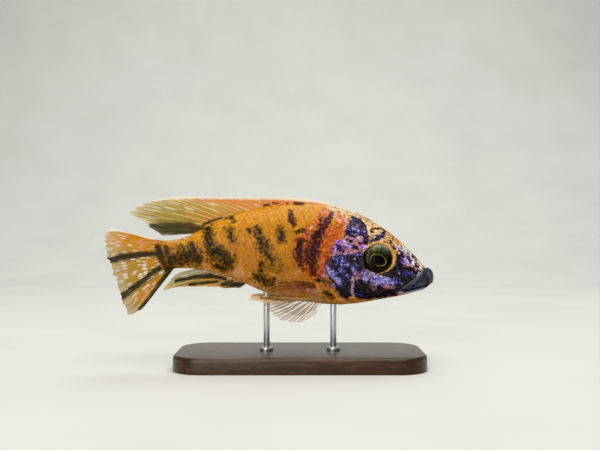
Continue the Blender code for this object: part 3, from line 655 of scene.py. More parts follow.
def marking_values(points):
    """Every marking's cover at each point, and the point's height between belly and back."""
    x, y, z = points.T
    back, belly, _ = section(x)
    side_x, side_z = far_side(x, y, z)
    values = {name: covered(lines, side_x, side_z) for name, lines in MARKS.items()}
    values["face"] = np.clip(0.5 + inside(FACE_OUTLINE, side_x, side_z) / FACE_SOFTNESS, 0, 1)
    eye = eye_distance(x, z)
    angle = np.degrees(np.arctan2(z - EYE[1], x - EYE[0]))
    values["orbit"] = np.clip(0.5 + (1 + table(ORBIT_WIDTH, angle) - eye) / ORBIT_SOFTNESS, 0, 1)
    values["height"] = np.clip((z - belly) / np.clip(back - belly, 1, None), 0, 1)
    return values


blotch = covered(MARKS["dark"], np.array([-7.2]), np.array([51.0]))
print("cover in the middle of a blotch:", round(float(blotch[0]), 2))

# %% [markdown]
# The skin's form comes first, as rows of points: the trunk, with the head's forms added along the
# surface's own normals. Both the skin and the scales are laid on these points.

# %% Shape the skin
def surface_normals(grid):
    """Outward normals of a grid of points that closes on itself round the body."""
    along = np.gradient(grid, axis=0)
    around = np.roll(grid, -1, axis=1) - np.roll(grid, 1, axis=1)
    normals = np.cross(around, along)
    normals /= np.linalg.norm(normals, axis=2, keepdims=True) + 1e-12
    outwards = np.sum(normals * (grid - grid.mean(axis=1, keepdims=True)), axis=(1, 2))
    return normals * np.sign(outwards.sum())


def shape_skin():
    """The outer skin's points and normals, ring by ring."""
    base = trunk_points(RING_X[:, None], np.arange(AROUND)[None, :] / AROUND)
    outer = base + surface_normals(base) * relief(base[..., 0], base[..., 2])[..., None]
    return outer, surface_normals(outer)


OUTER, NORMALS = shape_skin()
print("points of the outer skin:", OUTER.shape[0] * OUTER.shape[1])

# %% [markdown]
# Scales cover the body, the nape, most of the gill cover and a patch on the cheek. The rest of the face
# is bare skin, where the lips show with their pale lower edges and a painted highlight along their front,
# and where painted shade darkens the folds and the mouth line. These are values from 0 to 1 in
# the side view, for the skin's bed under the scales and for the finish.

# %% Where scales, lips and grooves are
# Lines and widths of the painted shade in the folds.
FOLD_SHADE_LINES = ((CHEEK_EDGE, 0.24), (THROAT_FOLD, 0.22), (JAW_FOLD, 0.3))
LIP_FOOT = -1.05
LIP_FRONT_HIGHLIGHT = (50.9, 51.5)


def scaled_area(x, z):
    """1 where scales cover the skin, 0 on the bare face."""
    ahead = ahead_of_gill(x, z)
    body = step(0.1, -0.5, ahead)
    nape = step(47.0, 48.5, z) * step(31.0, 29.0, x)
    cover = step(24.5, 23.0, x) * step(29.5, 31.0, z) * step(0.9, 1.4, ahead)
    cheek = band((20.8, 21.6, 34.0, 35.5), x) * band((31.0, 32.2, 44.0, 46.0), z)
    cheek *= step(1.16, 1.22, eye_distance(x, z))
    return np.clip(np.maximum.reduce([body, nape, cover, cheek]), 0, 1)


def face_values(x, z):
    """Where the lips, their pale edges with a painted highlight at the front, the painted shade of the folds
    and the mouth line, and the eye's seat are.
    """
    _, share, top = mouth_shares(x, z)
    over = share * top
    at_lips = step(38.4, 39.6, x)
    corner = np.hypot(x - MOUTH_CORNER[0] + 0.4, z - MOUTH_CORNER[1] + 0.5)
    # The lower lip's pale edge and its corner are its own colour; the band at the lips' front is a painted
    # highlight.
    edge = ridge(over - LIP_FOOT, 0.3) * at_lips + ridge(corner, 0.9) + 0.35 * step(*LIP_FRONT_HIGHLIGHT, x)
    # Painted shade: dark lines in the cheek, throat and jaw folds, behind the gill cover's rim and along the
    # mouth line.
    fold_shades = [ridge(line_distance(line, x, z), width) for line, width in FOLD_SHADE_LINES]
    fold_shades.append(ridge(ahead_of_gill(x, z) + 0.35, 0.3) * band((26.5, 28.0, 47.5, 49.5), z))
    fold_shades.append(0.7 * ridge(over, 0.2) * step(38.8, 39.8, x))
    return {
        "lip": step(1.06, 0.96, share) * at_lips * step(-2.2, -1.2, over),
        "lip_edge": np.clip(edge, 0, 1),
        "groove": np.maximum.reduce(fold_shades),
        "eye_rim": np.clip(eye_distance(x, z), 0, 3),
    }


bare = 1 - scaled_area(OUTER[..., 0], OUTER[..., 2]).mean()
print("share of bare skin:", round(float(bare), 2))

# %% [markdown]
# The skin starts as a flat grid, one column for each step round the body and one row for each ring, as if
# a sheet were wrapped round the fish. Its points are set on the shaped rows, a little lower where scales
# lie over them, and the points that meet at the seam, the lips and the tail are merged. In this way there
# is one skin with no joint from lips to tail, finer than the solids that it replaces.

# %% Wrap the skin
SCALE_BED = 0.16
MERGE_DISTANCE = 0.0002


def point_outwards(piece, merge=0.0):
    """Merges points that meet, turns every face outwards and shades the piece smooth."""
    bpy.ops.object.mode_set(mode="EDIT")
    bpy.ops.mesh.select_all(action="SELECT")
    if merge:
        bpy.ops.mesh.remove_doubles(threshold=merge * MM)
    bpy.ops.mesh.normals_make_consistent(inside=False)
    bpy.ops.object.mode_set(mode="OBJECT")
    piece.data.shade_smooth()


def wrap_skin(name):
    """A grid primitive wrapped on the fish and closed at its seam and both ends."""
    bpy.ops.mesh.primitive_grid_add(x_subdivisions=AROUND, y_subdivisions=len(OUTER) + 1, size=1)
    skin = bpy.context.object
    skin.name = skin.data.name = name
    bed = scaled_area(OUTER[..., 0], OUTER[..., 2])[..., None] * SCALE_BED
    rows = OUTER - NORMALS * bed
    nose, tail = [np.tile(end.mean(axis=0), (1, AROUND, 1)) for end in (rows[0], rows[-1])]
    points = np.concatenate([nose, rows, tail])
    points = np.concatenate([points, points[:, :1]], axis=1).reshape(-1, 3)
    skin.data.vertices.foreach_set("co", (points * MM).ravel())
    set_values(skin.data, {**marking_values(points), **face_values(points[:, 0], points[:, 2])})
    point_outwards(skin, MERGE_DISTANCE)
    return skin


skin = wrap_skin("fish_skin")
print("skin faces:", len(skin.data.polygons), "points:", len(skin.data.vertices))

# %% [markdown]
# A cichlid's scales are thin plates that overlap like roof tiles, each with its front sunk in the skin and
# its round rear edge free. They stand in lengthwise rows, every other row half a scale farther back. One
# plate is modelled once: a small grid, drawn to the scale's outline and given a thickness. Then it is
# copied to every scale's place, domed and bent to the skin under it, and the copies are joined.

# %% Model one scale
SCALE_ACROSS = 6
SCALE_ALONG = 4
SCALE_OUTLINE = ((0.0, 0.62), (0.3, 0.96), (0.55, 1.0), (0.8, 0.84), (0.93, 0.58), (1.0, 0.22))
SCALE_ROUNDNESS = 0.30
SCALE_THICKNESS = 0.05


def scale_template():
    """One plate: shares across it, along it and through it for each point, and its faces."""
    bpy.ops.mesh.primitive_grid_add(x_subdivisions=SCALE_ACROSS, y_subdivisions=SCALE_ALONG, size=1)
    plate = bpy.context.object
    for point in plate.data.vertices:
        across = point.co.x * 2
        along = 1 - (0.5 - point.co.y) ** 1.5
        rounded = along - SCALE_ROUNDNESS * across**2 * along**2
        width = max(table(SCALE_OUTLINE, rounded), table(SCALE_OUTLINE, along))
        point.co = (across * width, rounded, 0)
    wall = plate.modifiers.new("plate", "SOLIDIFY")
    wall.thickness = SCALE_THICKNESS
    wall.offset = -1
    bpy.ops.object.modifier_apply(modifier=wall.name)
    points = np.array([point.co for point in plate.data.vertices])
    faces = [list(face.vertices) for face in plate.data.polygons]
    bpy.data.objects.remove(plate)
    return points, faces


PLATE, PLATE_FACES = scale_template()
print("faces of one scale:", len(PLATE_FACES), "size:", np.ptp(PLATE, axis=0).round(2))

# %% [markdown]
# The rows follow the fish's side at even distances from its middle line, measured over the curve of the
# skin, so they run together towards the tail as real ones do. A table of the arc length round each ring
# turns such a distance into a place on the skin.

# %% Measure over the skin
ARC_STEP = 0.25
ARC_REACH = 62.0
TURN_STEP = 0.0025
TURNS = np.arange(-0.3, 0.8, TURN_STEP)
BACK, SIDE, BELLY = [int(round((turn - TURNS[0]) / TURN_STEP)) for turn in (0.0, 0.25, 0.5)]


def arc_table():
    """Per ring, the turn at each distance over the skin from the side's middle, and the back and belly."""
    points = trunk_points(RING_X[:, None], TURNS[None, :])
    pieces = np.linalg.norm(np.diff(points, axis=1), axis=2)
    arcs = np.concatenate([np.zeros((len(RING_X), 1)), np.cumsum(pieces, axis=1)], axis=1)
    arcs -= arcs[:, SIDE : SIDE + 1]
    distances = np.arange(-ARC_REACH, ARC_REACH, ARC_STEP)
    return np.array([np.interp(distances, row, TURNS) for row in arcs]), arcs[:, BACK], arcs[:, BELLY]


def sample(grid, row, column, wrap):
    """Values between the points of a grid, wrapped round the body where asked."""
    r = np.clip(np.floor(row).astype(int), 0, len(grid) - 2)
    c = np.floor(column).astype(int)
    fr = np.clip(row - r, 0, 1)[..., None]
    fc = (column - c)[..., None]
    if wrap:
        c, after = c % grid.shape[1], (c + 1) % grid.shape[1]
    else:
        c = np.clip(c, 0, grid.shape[1] - 2)
        after = c + 1
    near = grid[r, c] * (1 - fc) + grid[r, after] * fc
    far = grid[r + 1, c] * (1 - fc) + grid[r + 1, after] * fc
    return near * (1 - fr) + far * fr


def on_skin(x, arc, side):
    """Point and normal of the outer skin at x, an arc distance from the middle line of one side."""
    row = np.interp(x, RING_X[::-1], np.arange(len(RING_X))[::-1].astype(float))
    turn = sample(ARC_TURNS[..., None], row, (arc + ARC_REACH) / ARC_STEP, False)[..., 0]
    turn = turn if side == "right" else 1 - turn
    column = np.mod(turn, 1) * AROUND
    normal = sample(NORMALS, row, column, True)
    return sample(OUTER, row, column, True), normal / np.linalg.norm(normal, axis=-1, keepdims=True)


ARC_TURNS, ARC_TOP, ARC_BOTTOM = arc_table()
print("from back to belly over the skin in mm:", round(float((ARC_BOTTOM - ARC_TOP).max()), 1))

# %% [markdown]
# A row's height and a scale's length go together, small at the tail root and the head and large on the
# flank. A place is kept where its middle lies in the scaled area, and a row may stand about a third of
# its height over the back or the belly, so that the two sides meet.

# %% Find the scales' places
SCALE_STEP = (
    (-52.0, 1.30), (-44.0, 1.50), (-30.0, 1.85), (-5.0, 2.05),
    (12.0, 1.95), (20.0, 1.55), (30.0, 1.20), (40.0, 1.1),
)
SCALES_FROM, SCALES_TO = -52.5, 38.0
STEP_SAMPLES = 3000
ROW_SHARE = 0.90
ROWS_EACH_WAY = 40
OVERHANG = 0.35


def scale_places(side):
    """x, distance from the middle line, length and row height of every scale on one side."""
    fine = np.linspace(SCALES_FROM, SCALES_TO, STEP_SAMPLES)
    count = np.cumsum(np.gradient(fine) / table(SCALE_STEP, fine))
    places = []
    for odd, column in enumerate(np.arange(count[0] + 0.5, count[-1], 0.5)):
        x = float(np.interp(column, count, fine))
        length = float(table(SCALE_STEP, x))
        height = length * ROW_SHARE
        top, bottom = [float(np.interp(x, RING_X[::-1], arc[::-1])) for arc in (ARC_TOP, ARC_BOTTOM)]
        for row in range(-ROWS_EACH_WAY + odd % 2, ROWS_EACH_WAY + 1, 2):
            arc = row * height
            if top - OVERHANG * height < arc < bottom + OVERHANG * height:
                places.append((x, arc, length, height))
    places = np.array(places)
    points, _ = on_skin(places[:, 0], places[:, 1], side)
    return places[scaled_area(points[:, 0], points[:, 2]) > 0.5]


PLACES = {side: scale_places(side) for side in SIDES}
print("scales:", {side: len(places) for side, places in PLACES.items()})

# %% [markdown]
# Each copy gets a slightly different size, lean and lift, from a seeded draw. Two more values go with
# every scale: its own tone, and how near a point is to the free edge. Its UV patch, about 0.003 wide, lies
# where its root is on the skin unrolled flat, in the lower half for the right side and the upper half for
# the left.

# %% Lay the scales
SCALE_LIFT = ((0.0, -0.20), (0.35, -0.07), (0.7, 0.02), (1.0, 0.07))
LIFT_LENGTH = 2.0
SIZE_SPREAD, LEAN_SPREAD, LIFT_SPREAD = 0.06, 0.05, 0.02
WIDTH_OVERLAP, LENGTH_OVERLAP = 1.06, 1.95
ROOT_SHARE = 0.45
DOME = 0.05
UNROLL_X = (-60.0, 115.0)
UNROLL_ARC = (-62.0, 250.0)
PATCH = (0.0015, 0.003)


def lay_scales(name, side):
    """All scales of one side as one joined mesh that follows the skin."""
    places = PLACES[side]
    x0, arc0, length, height = [places[:, c][:, None] for c in range(4)]
    count = len(places)
    across, along, thick = [PLATE[:, c][None, :] for c in range(3)]
    size = 1 + SIZE_SPREAD * rng.standard_normal((count, 1))
    lean = LEAN_SPREAD * rng.standard_normal((count, 1))
    lift = table(SCALE_LIFT, along) - DOME * across**2 + LIFT_SPREAD * rng.standard_normal((count, 1))
    reach = length * LENGTH_OVERLAP * size
    x = x0 - (along - ROOT_SHARE) * reach + across * lean * length
    width = height * WIDTH_OVERLAP * size
    arc = arc0 + across * width + (along - ROOT_SHARE) * reach * lean
    point, normal = on_skin(x, arc, side)
    points = (point + normal * ((lift + thick) * length / LIFT_LENGTH)[..., None]).reshape(-1, 3)
    starts = np.arange(count)[:, None, None] * len(PLATE)
    faces = (np.array(PLATE_FACES)[None] + starts).reshape(-1, 4)
    mesh = bpy.data.meshes.new(name)
    mesh.from_pydata((points * MM).tolist(), [], faces.tolist())
    coat = bpy.data.objects.new(name, mesh)
    bpy.context.scene.collection.objects.link(coat)
    values = marking_values(points)
    values["tone"] = np.repeat(rng.random(count), len(PLATE))
    values["edge"] = np.tile(PLATE[:, 1], count)
    set_values(mesh, values)
    unroll = np.stack([(x0 - UNROLL_X[0]) / UNROLL_X[1], (arc0 - UNROLL_ARC[0]) / UNROLL_ARC[1]], axis=-1)
    patch = np.stack([across, along - 0.5], axis=-1) * PATCH
    uv = (unroll + patch + (0.0, 0.5 if side == "left" else 0.0)).reshape(-1, 2)
    layer = mesh.uv_layers.new(name="OFBake")
    corners = np.zeros(len(mesh.loops), np.int32)
    mesh.loops.foreach_get("vertex_index", corners)
    layer.data.foreach_set("uv", np.ascontiguousarray(uv[corners], np.float32).ravel())
    mesh.shade_smooth()
    return coat


coats = [lay_scales(f"scales_{side}", side) for side in SIDES]
print("faces of the scales:", [len(coat.data.polygons) for coat in coats])

# %% [markdown]
# A fin is a thin web held up by rays. The root and the tip line of each fin are the same as in the
# solids: rows of the share along the root, x and z for the three fins of the middle plane, and of the
# share, x, the distance out and z for the paired ones.

# %% The fins' sizes
DORSAL_ROOT_X = (15.4, -21.2, -38.6)
DORSAL_TIPS = (
    (0.00, 12.4, 62.6), (0.08, 6.4, 64.5), (0.20, -5.0, 65.7), (0.40, -16.4, 65.7), (0.60, -35.7, 65.7),
    (0.76, -51.8, 65.3), (0.84, -62.4, 62.3), (0.88, -65.7, 59.6), (0.92, -62.1, 56.9), (1.00, -53.2, 50.6),
)
CAUDAL_ROOT = ((-49.4, 47.9), (-48.6, 37.9))
CAUDAL_TIPS = (
    (0.00, -72.9, 53.6), (0.10, -74.4, 52.1), (0.30, -74.7, 47.8), (0.45, -73.8, 42.5), (0.60, -71.4, 36.0),
    (0.75, -69.7, 29.8), (0.87, -68.0, 24.2), (0.95, -65.0, 20.1), (1.00, -61.0, 21.7),
)
ANAL_ROOT_X = (-19.9, -37.2)
ANAL_TIPS = (
    (0.0, -23.5, 30.2), (0.1, -29.5, 30.1), (0.2, -35.6, 30.7), (0.3, -41.1, 30.8), (0.5, -49.3, 30.4),
    (0.6, -53.1, 29.5), (0.7, -51.2, 32.3), (0.9, -48.3, 35.4), (1.0, -46.3, 36.5),
)
PECTORAL_ROOT = ((7.2, 6.4, 32.0), (9.8, 4.9, 27.6))
PECTORAL_TIPS = (
    (0.0, -5.5, 15.0, 34.6), (0.15, -11.8, 17.5, 33.4), (0.3, -14.4, 18.4, 29.6), (0.5, -13.2, 17.0, 23.9),
    (0.7, -6.6, 13.6, 18.9), (0.85, -0.2, 10.9, 17.7), (1.0, 5.9, 8.4, 20.4),
)
PELVIC_ROOT = ((8.4, 4.4, 26.9), (6.6, 1.4, 25.3))
PELVIC_TIPS = (
    (0.0, -9.0, 6.8, 24.6), (0.2, -20.0, 7.2, 26.3), (0.4, -18.4, 6.0, 27.3), (0.7, -13.0, 4.3, 27.0),
    (1.0, -6.0, 2.9, 25.6),
)
FIN_SINK = 1.2
FAR_SPREAD = 1.15
print("tail fin's height in mm:", np.ptp([z for _, _, z in CAUDAL_TIPS]).round(1))

# %% [markdown]
# The fins have their own marks, again as lines of (x, z, half width) points in the side view: black bars
# and orange and olive fields, a white front edge on the tail and the dorsal fin, dark rays near the
# root of the pectoral fin, and a painted highlight on that root.

# %% Where the fins' marks are
FIN_MARKS = {
    "dorsal_black": (
        ((-37.9, 53.5, 0.8), (-42.5, 53.2, 2.5), (-48.2, 53.2, 2.7), (-53.9, 53.2, 2.3), (-56.9, 54.3, 1.1)),
        ((-37.6, 54.7, 0.6), (-34.1, 56.3, 0.5), (-30.3, 57.6, 0.4)),
    ),
    "dorsal_spots": (
        ((-13.9, 62.3, 0.5), (-12.4, 62.6, 0.45)), ((-10.4, 63.4, 0.4), (-8.6, 63.1, 0.3)),
        ((-2.0, 63.2, 0.6), (1.2, 63.0, 0.5)), ((-5.4, 63.3, 0.25), (-4.6, 63.2, 0.25)),
    ),
    "dorsal_olive": (
        ((-65.0, 59.7, 3.4), (-59.5, 61.2, 3.4), (-52.0, 62.0, 3.4), (-46.3, 60.5, 2.3)),
        ((-52.0, 55.9, 2.3), (-46.3, 55.9, 1.9)),
    ),
    "dorsal_orange": (
        ((11.7, 63.4, 2.2), (-3.9, 63.9, 2.8), (-15.6, 64.4, 2.5), (-28.0, 64.8, 1.9), (-40.0, 65.2, 0.9)),
    ),
    "dorsal_white": (
        (
            (15.6, 62.0, 0.6), (6.4, 64.1, 0.7), (0.0, 64.9, 0.8),
            (-7.8, 65.4, 0.8), (-23.3, 65.4, 0.7), (-38.7, 65.4, 0.6),
        ),
        ((-38.7, 65.5, 0.5), (-50.1, 65.3, 0.6), (-57.6, 64.3, 0.5), (-63.2, 61.9, 0.5)),
    ),
    "caudal_black": (
        ((-52.0, 43.9, 1.0), (-61.3, 43.4, 1.2), (-66.9, 42.5, 1.3), (-73.1, 41.2, 1.3)),
        ((-51.4, 39.9, 1.0), (-57.6, 35.5, 1.1), (-63.2, 31.0, 1.1), (-69.1, 26.5, 1.3)),
        ((-50.2, 36.8, 1.1), (-54.2, 31.2, 1.1), (-57.9, 26.3, 0.9), (-61.6, 22.4, 0.5)),
        ((-54.8, 46.4, 1.0), (-54.0, 43.6, 1.4), (-52.4, 40.2, 1.6), (-50.6, 36.9, 1.4)),
        ((-52.6, 45.6, 1.5), (-51.4, 42.4, 2.4), (-50.2, 38.6, 2.4)),
    ),
    "caudal_orange": (
        ((-54.6, 47.8, 1.9), (-59.5, 48.9, 2.3), (-65.0, 50.1, 1.9)),
        ((-53.9, 42.0, 1.1), (-57.6, 40.5, 1.5)),
        ((-53.9, 33.5, 1.3), (-57.6, 29.7, 1.9), (-61.3, 26.7, 1.9)),
        ((-57.6, 45.1, 1.1), (-61.3, 46.3, 1.5)),
    ),
    "caudal_white": (
        ((-48.2, 48.7, 0.4), (-57.6, 49.9, 0.5), (-65.0, 52.1, 0.5), (-70.5, 53.4, 0.8), (-74.2, 53.0, 0.7)),
    ),
    "anal_black": (
        ((-29.9, 31.8, 1.1), (-25.3, 31.4, 1.4), (-21.0, 31.2, 0.9)),
        ((-29.1, 33.9, 0.6), (-34.9, 35.0, 1.0), (-40.6, 34.6, 0.9), (-47.8, 33.1, 0.7)),
        ((-31.8, 32.8, 0.5), (-36.8, 32.4, 0.6), (-42.5, 31.7, 0.6)),
    ),
    "pectoral_dark": (
        ((-0.8, 31.8, 0.35), (1.4, 32.2, 0.35)), ((-0.5, 30.2, 0.35), (2.0, 30.8, 0.35)),
        ((0.6, 29.2, 0.25), (1.6, 29.4, 0.25)), ((7.0, 32.2, 0.26), (-0.5, 33.0, 0.24), (-7.5, 33.2, 0.2)),
        ((7.0, 31.6, 0.26), (-1.0, 32.0, 0.24), (-9.5, 31.9, 0.2)),
        ((6.6, 31.0, 0.24), (-1.5, 31.0, 0.22), (-10.5, 30.6, 0.2)),
    ),
    # A painted highlight on the pectoral fin's root.
    "pectoral_pale": (
        ((6.6, 30.6, 0.5), (7.6, 29.8, 0.8), (8.3, 28.6, 0.6)),
    ),
    "pelvic_black": (
        ((-15.0, 26.9, 0.3), (-11.0, 26.6, 0.4), (-6.6, 26.0, 0.5), (2.0, 25.4, 0.5)),
    ),
    "anal_orange": (
        ((-24.1, 30.4, 0.6), (-30.3, 30.7, 0.6), (-36.8, 31.1, 0.6), (-42.5, 31.0, 0.6), (-50.1, 30.4, 0.6)),
        ((-30.3, 33.0, 0.5), (-36.8, 33.6, 0.4), (-42.5, 33.1, 0.4)),
    ),
}
print("marks on the fins:", sum(len(lines) for lines in FIN_MARKS.values()))

# %% [markdown]
# The three fins of the middle plane bend with the tail. Their roots follow the back or the belly and are
# sunk into it. A paired fin is drawn on one side, and the far pectoral fin stands out a little more.

# %% Root and tip lines
def middle_root(share, keys, root_x, side, sink):
    """Root points along the back (0) or the belly (1) of the trunk, sunk into it."""
    x = np.interp(share, keys, root_x)
    return np.stack([x, swing(x), smooth(TRUNK, x)[..., side] + sink], axis=-1)


def between(start, end, share):
    """Points on the straight line from start to end."""
    return np.array(start) * (1 - share[..., None]) + np.array(end) * share[..., None]


def middle_point(rows):
    """(x, z) rows as points of the bent middle plane."""
    return np.stack([rows[..., 0], swing(rows[..., 0]), rows[..., 1]], axis=-1)


def side_point(rows, side, spread=1.0, pivot=0.0):
    """(x, out, z) rows as points on one side of the fish."""
    sign = 1 if side == "left" else -1
    out = pivot + (rows[..., 1] - pivot) * spread
    return np.stack([rows[..., 0], sign * out + swing(rows[..., 0]), rows[..., 2]], axis=-1)


print("front end of the anal fin's root:", middle_root(0.0, (0, 1), ANAL_ROOT_X, 1, FIN_SINK).round(1))

# %% [markdown]
# The dorsal fin has stiff spines in front, whose tips stand out of a notched edge, and soft rays behind,
# which branch twice on their way out. The other fins have mostly soft rays. Places are counted in rays
# from the first one, and the edge between soft rays is lightly frayed by a seeded draw.

# %% Rays and free edges
BRANCHES = ((0.22, 0.38, 0.80), (0.10, 0.68, 0.98))
RAY_WIDTH, RAY_TAPER = 0.115, 0.055
SOFT_WIDTH = 0.8
GAP_SHARE = 0.35


def ray_ridges(share, along, rays, spines):
    """1 on the middle of a ray or one of its branches, 0 on the web."""
    place = share * (rays - 1)
    nearest = np.round(place)
    offset = place - nearest
    first, second = [reach * step(start, end, along) for reach, start, end in BRANCHES]
    width = RAY_WIDTH - RAY_TAPER * along
    soft = np.zeros(share.shape)
    for a in (-1, 1):
        for b in (-1, 1):
            soft = np.maximum(soft, ridge(offset - a * first - b * second, width * SOFT_WIDTH))
    stiff = ridge(offset, width)
    return np.where(nearest < spines, stiff, soft)


def free_edge(share, rays, spines, notch, fringe):
    """How far out the web reaches: cut back between spines, lightly frayed between soft rays."""
    place = share * (rays - 1)
    gap = np.abs(np.sin(np.pi * place))
    frayed = np.interp(place * 4, np.arange(rays * 4), rng.random(rays * 4))
    fray = fringe * (GAP_SHARE * gap + (1 - GAP_SHARE) * frayed)
    return 1 - np.where(place < spines - 0.5, notch * gap, fray)


print("from a ray's middle outwards:", ray_ridges(np.linspace(0, 0.5, 5), np.full(5, 0.33), 2, 0).round(2))

# %% [markdown]
# Each fin starts as a flat grid with 14 to 22 columns for each ray and gets a thickness with Solidify.
# Its points are then set between the root and the tip line, on two faces with the rays as ridges in both.
# The rays are jointed, the web is pleated between them, and a slow wave bends it all.

# %% Build the fins
FINS = {
    "dorsal": dict(rays=26, spines=16, notch=0.10, fringe=0.05, per_ray=14, rows=54, wave=0.5),
    "caudal": dict(rays=16, spines=0, notch=0.0, fringe=0.06, per_ray=22, rows=64, wave=0.5),
    "anal": dict(rays=11, spines=3, notch=0.10, fringe=0.05, per_ray=18, rows=48, wave=0.3),
    "pectoral": dict(rays=14, spines=4, notch=0.0, fringe=0.05, per_ray=18, rows=50, wave=0.3),
    "pelvic": dict(rays=6, spines=1, notch=0.0, fringe=0.05, per_ray=20, rows=48, wave=0.2),
}
WEB_HALF = ((0, 0.11), (1, 0.045))
RAY_HALF = ((0, 0.30), (1, 0.10))
JOINTS, JOINT_DEPTH = 30, 0.16
PLEAT = 0.10


def fin_sheet(name, roots, tips, rays, spines, notch, fringe, per_ray, rows, wave):
    """A fin as one closed sheet whose two faces carry its rays."""
    columns = (rays - 1) * per_ray
    bpy.ops.mesh.primitive_grid_add(x_subdivisions=columns, y_subdivisions=rows, size=1)
    fin = bpy.context.object
    fin.name = fin.data.name = name
    wall = fin.modifiers.new("web", "SOLIDIFY")
    wall.thickness = 0.01
    wall.offset = 0
    bpy.ops.object.modifier_apply(modifier=wall.name)

    share, along = np.meshgrid(np.linspace(0, 1, columns + 1), np.linspace(0, 1, rows + 1))
    edge = free_edge(share[0], rays, spines, notch, fringe)[None, :]
    root, tip = roots(share[0]), tips(share[0])
    middle = root[None] + (tip - root)[None] * (along * edge)[..., None]
    normals = np.cross(np.gradient(middle, axis=1), np.gradient(middle, axis=0))[rows // 2]
    kernel = np.ones(per_ray * 2 + 1)
    normals = np.stack([np.convolve(normals[:, c], kernel, mode="same") for c in range(3)], axis=-1)
    normals /= np.linalg.norm(normals, axis=-1, keepdims=True)
    ray = ray_ridges(share, along, rays, spines)
    joints = 1 - JOINT_DEPTH * step(0.3, 0.5, along) * (0.5 + 0.5 * np.cos(along * 2 * np.pi * JOINTS))
    half = table(WEB_HALF, along) + table(RAY_HALF, along) * ray * joints
    pleat = PLEAT * along * np.cos(2 * np.pi * share * (rays - 1))
    bend = wave * along**2 * np.sin(share * 8.0 + 1.0) + pleat
    front = middle + normals[None] * (bend + half)[..., None]
    back = middle + normals[None] * (bend - half)[..., None]
    points = np.concatenate([front.reshape(-1, 3), back.reshape(-1, 3)])
    fin.data.vertices.foreach_set("co", (points * MM).ravel())

    kind = name.split("_")[0]
    x, _, z = points.T
    values = {mark: covered(lines, x, z) for mark, lines in FIN_MARKS.items() if mark.startswith(kind)}
    set_values(fin.data, {**values, "ray": np.tile(ray.ravel(), 2)})
    point_outwards(fin)
    return fin


DORSAL_KEYS = (0, (FINS["dorsal"]["spines"] - 1) / (FINS["dorsal"]["rays"] - 1), 1)
MIDDLE_FINS = {
    "dorsal": (lambda share: middle_root(share, DORSAL_KEYS, DORSAL_ROOT_X, 0, -FIN_SINK), DORSAL_TIPS),
    "caudal": (lambda share: middle_point(between(*CAUDAL_ROOT, share)), CAUDAL_TIPS),
    "anal": (lambda share: middle_root(share, (0, 1), ANAL_ROOT_X, 1, FIN_SINK), ANAL_TIPS),
}
fins = {}
for kind, (roots, rows) in MIDDLE_FINS.items():
    name = f"{kind}_web"
    fins[name] = fin_sheet(name, roots, lambda share: middle_point(smooth(rows, share)), **FINS[kind])
for side, spread in zip(SIDES, (1.0, FAR_SPREAD)):
    fins[f"pectoral_web_{side}"] = fin_sheet(
        f"pectoral_web_{side}",
        lambda share: side_point(between(*PECTORAL_ROOT, share), side),
        lambda share: side_point(smooth(PECTORAL_TIPS, share), side, spread, PECTORAL_ROOT[0][1]),
        **FINS["pectoral"],
    )
    fins[f"pelvic_web_{side}"] = fin_sheet(
        f"pelvic_web_{side}",
        lambda share: side_point(between(*PELVIC_ROOT, share), side),
        lambda share: side_point(smooth(PELVIC_TIPS, share), side),
        **FINS["pelvic"],
    )
print("fin faces:", {name: len(fin.data.polygons) for name, fin in fins.items()})

# %% [markdown]
# A fish's eye has no lids. It is a flat dish of iris with a thin gold ring round a black pupil, through
# which the round lens bulges, and a clear cornea domes over it all. The iris and lens are one turned
# form here. The cornea is a second, clear piece, so that the studio's light glints on it as on a wet eye.

# %% Make the eyes
EYE_PLANE = -0.25
EYE_LEAN = (0.12, 0.14)
IRIS_PROFILE = (
    (0.0, 1.02), (0.25, 0.95), (0.42, 0.74), (0.50, 0.70), (0.57, 0.78),
    (0.66, 0.72), (0.85, 0.45), (0.95, 0.12), (1.0, -0.5),
)
IRIS_BACK, IRIS_SIZE = 1.6, 0.985
CORNEA_PROFILE = ((0.0, 1.42), (0.3, 1.34), (0.6, 1.08), (0.8, 0.74), (0.93, 0.36), (1.0, -0.3))
CORNEA_BACK, CORNEA_SIZE = 0.2, 0.97
RING_CENTRE = (-0.1, -0.6)
RING_RADII = (3.05, 2.05)
RING_TILT = math.radians(-20)
RING_LIGHT = (
    (-180, 0.75), (-150, 0.15), (-110, 0.1), (-70, 0.8), (-20, 1.0),
    (20, 0.9), (60, 0.35), (120, 0.5), (160, 1.0), (180, 0.75),
)


def eye_reach():
    """How far the trunk's side stands out at the eye's centre."""
    turns = np.linspace(0.0, 0.25, 400)
    side = trunk_points(np.full(turns.shape, EYE[0]), turns)
    return float(np.interp(EYE[1], side[::-1, 2], -side[::-1, 1]))


def ring_values(along, up):
    """1 on the gold ring's oval, less inside it, and how bright the ring is there."""
    x, z = along - RING_CENTRE[0], up - RING_CENTRE[1]
    turned_x = x * math.cos(RING_TILT) + z * math.sin(RING_TILT)
    turned_z = z * math.cos(RING_TILT) - x * math.sin(RING_TILT)
    ring = np.hypot(turned_x / RING_RADII[0], turned_z / RING_RADII[1])
    return ring, table(RING_LIGHT, np.degrees(np.arctan2(turned_z, turned_x)))


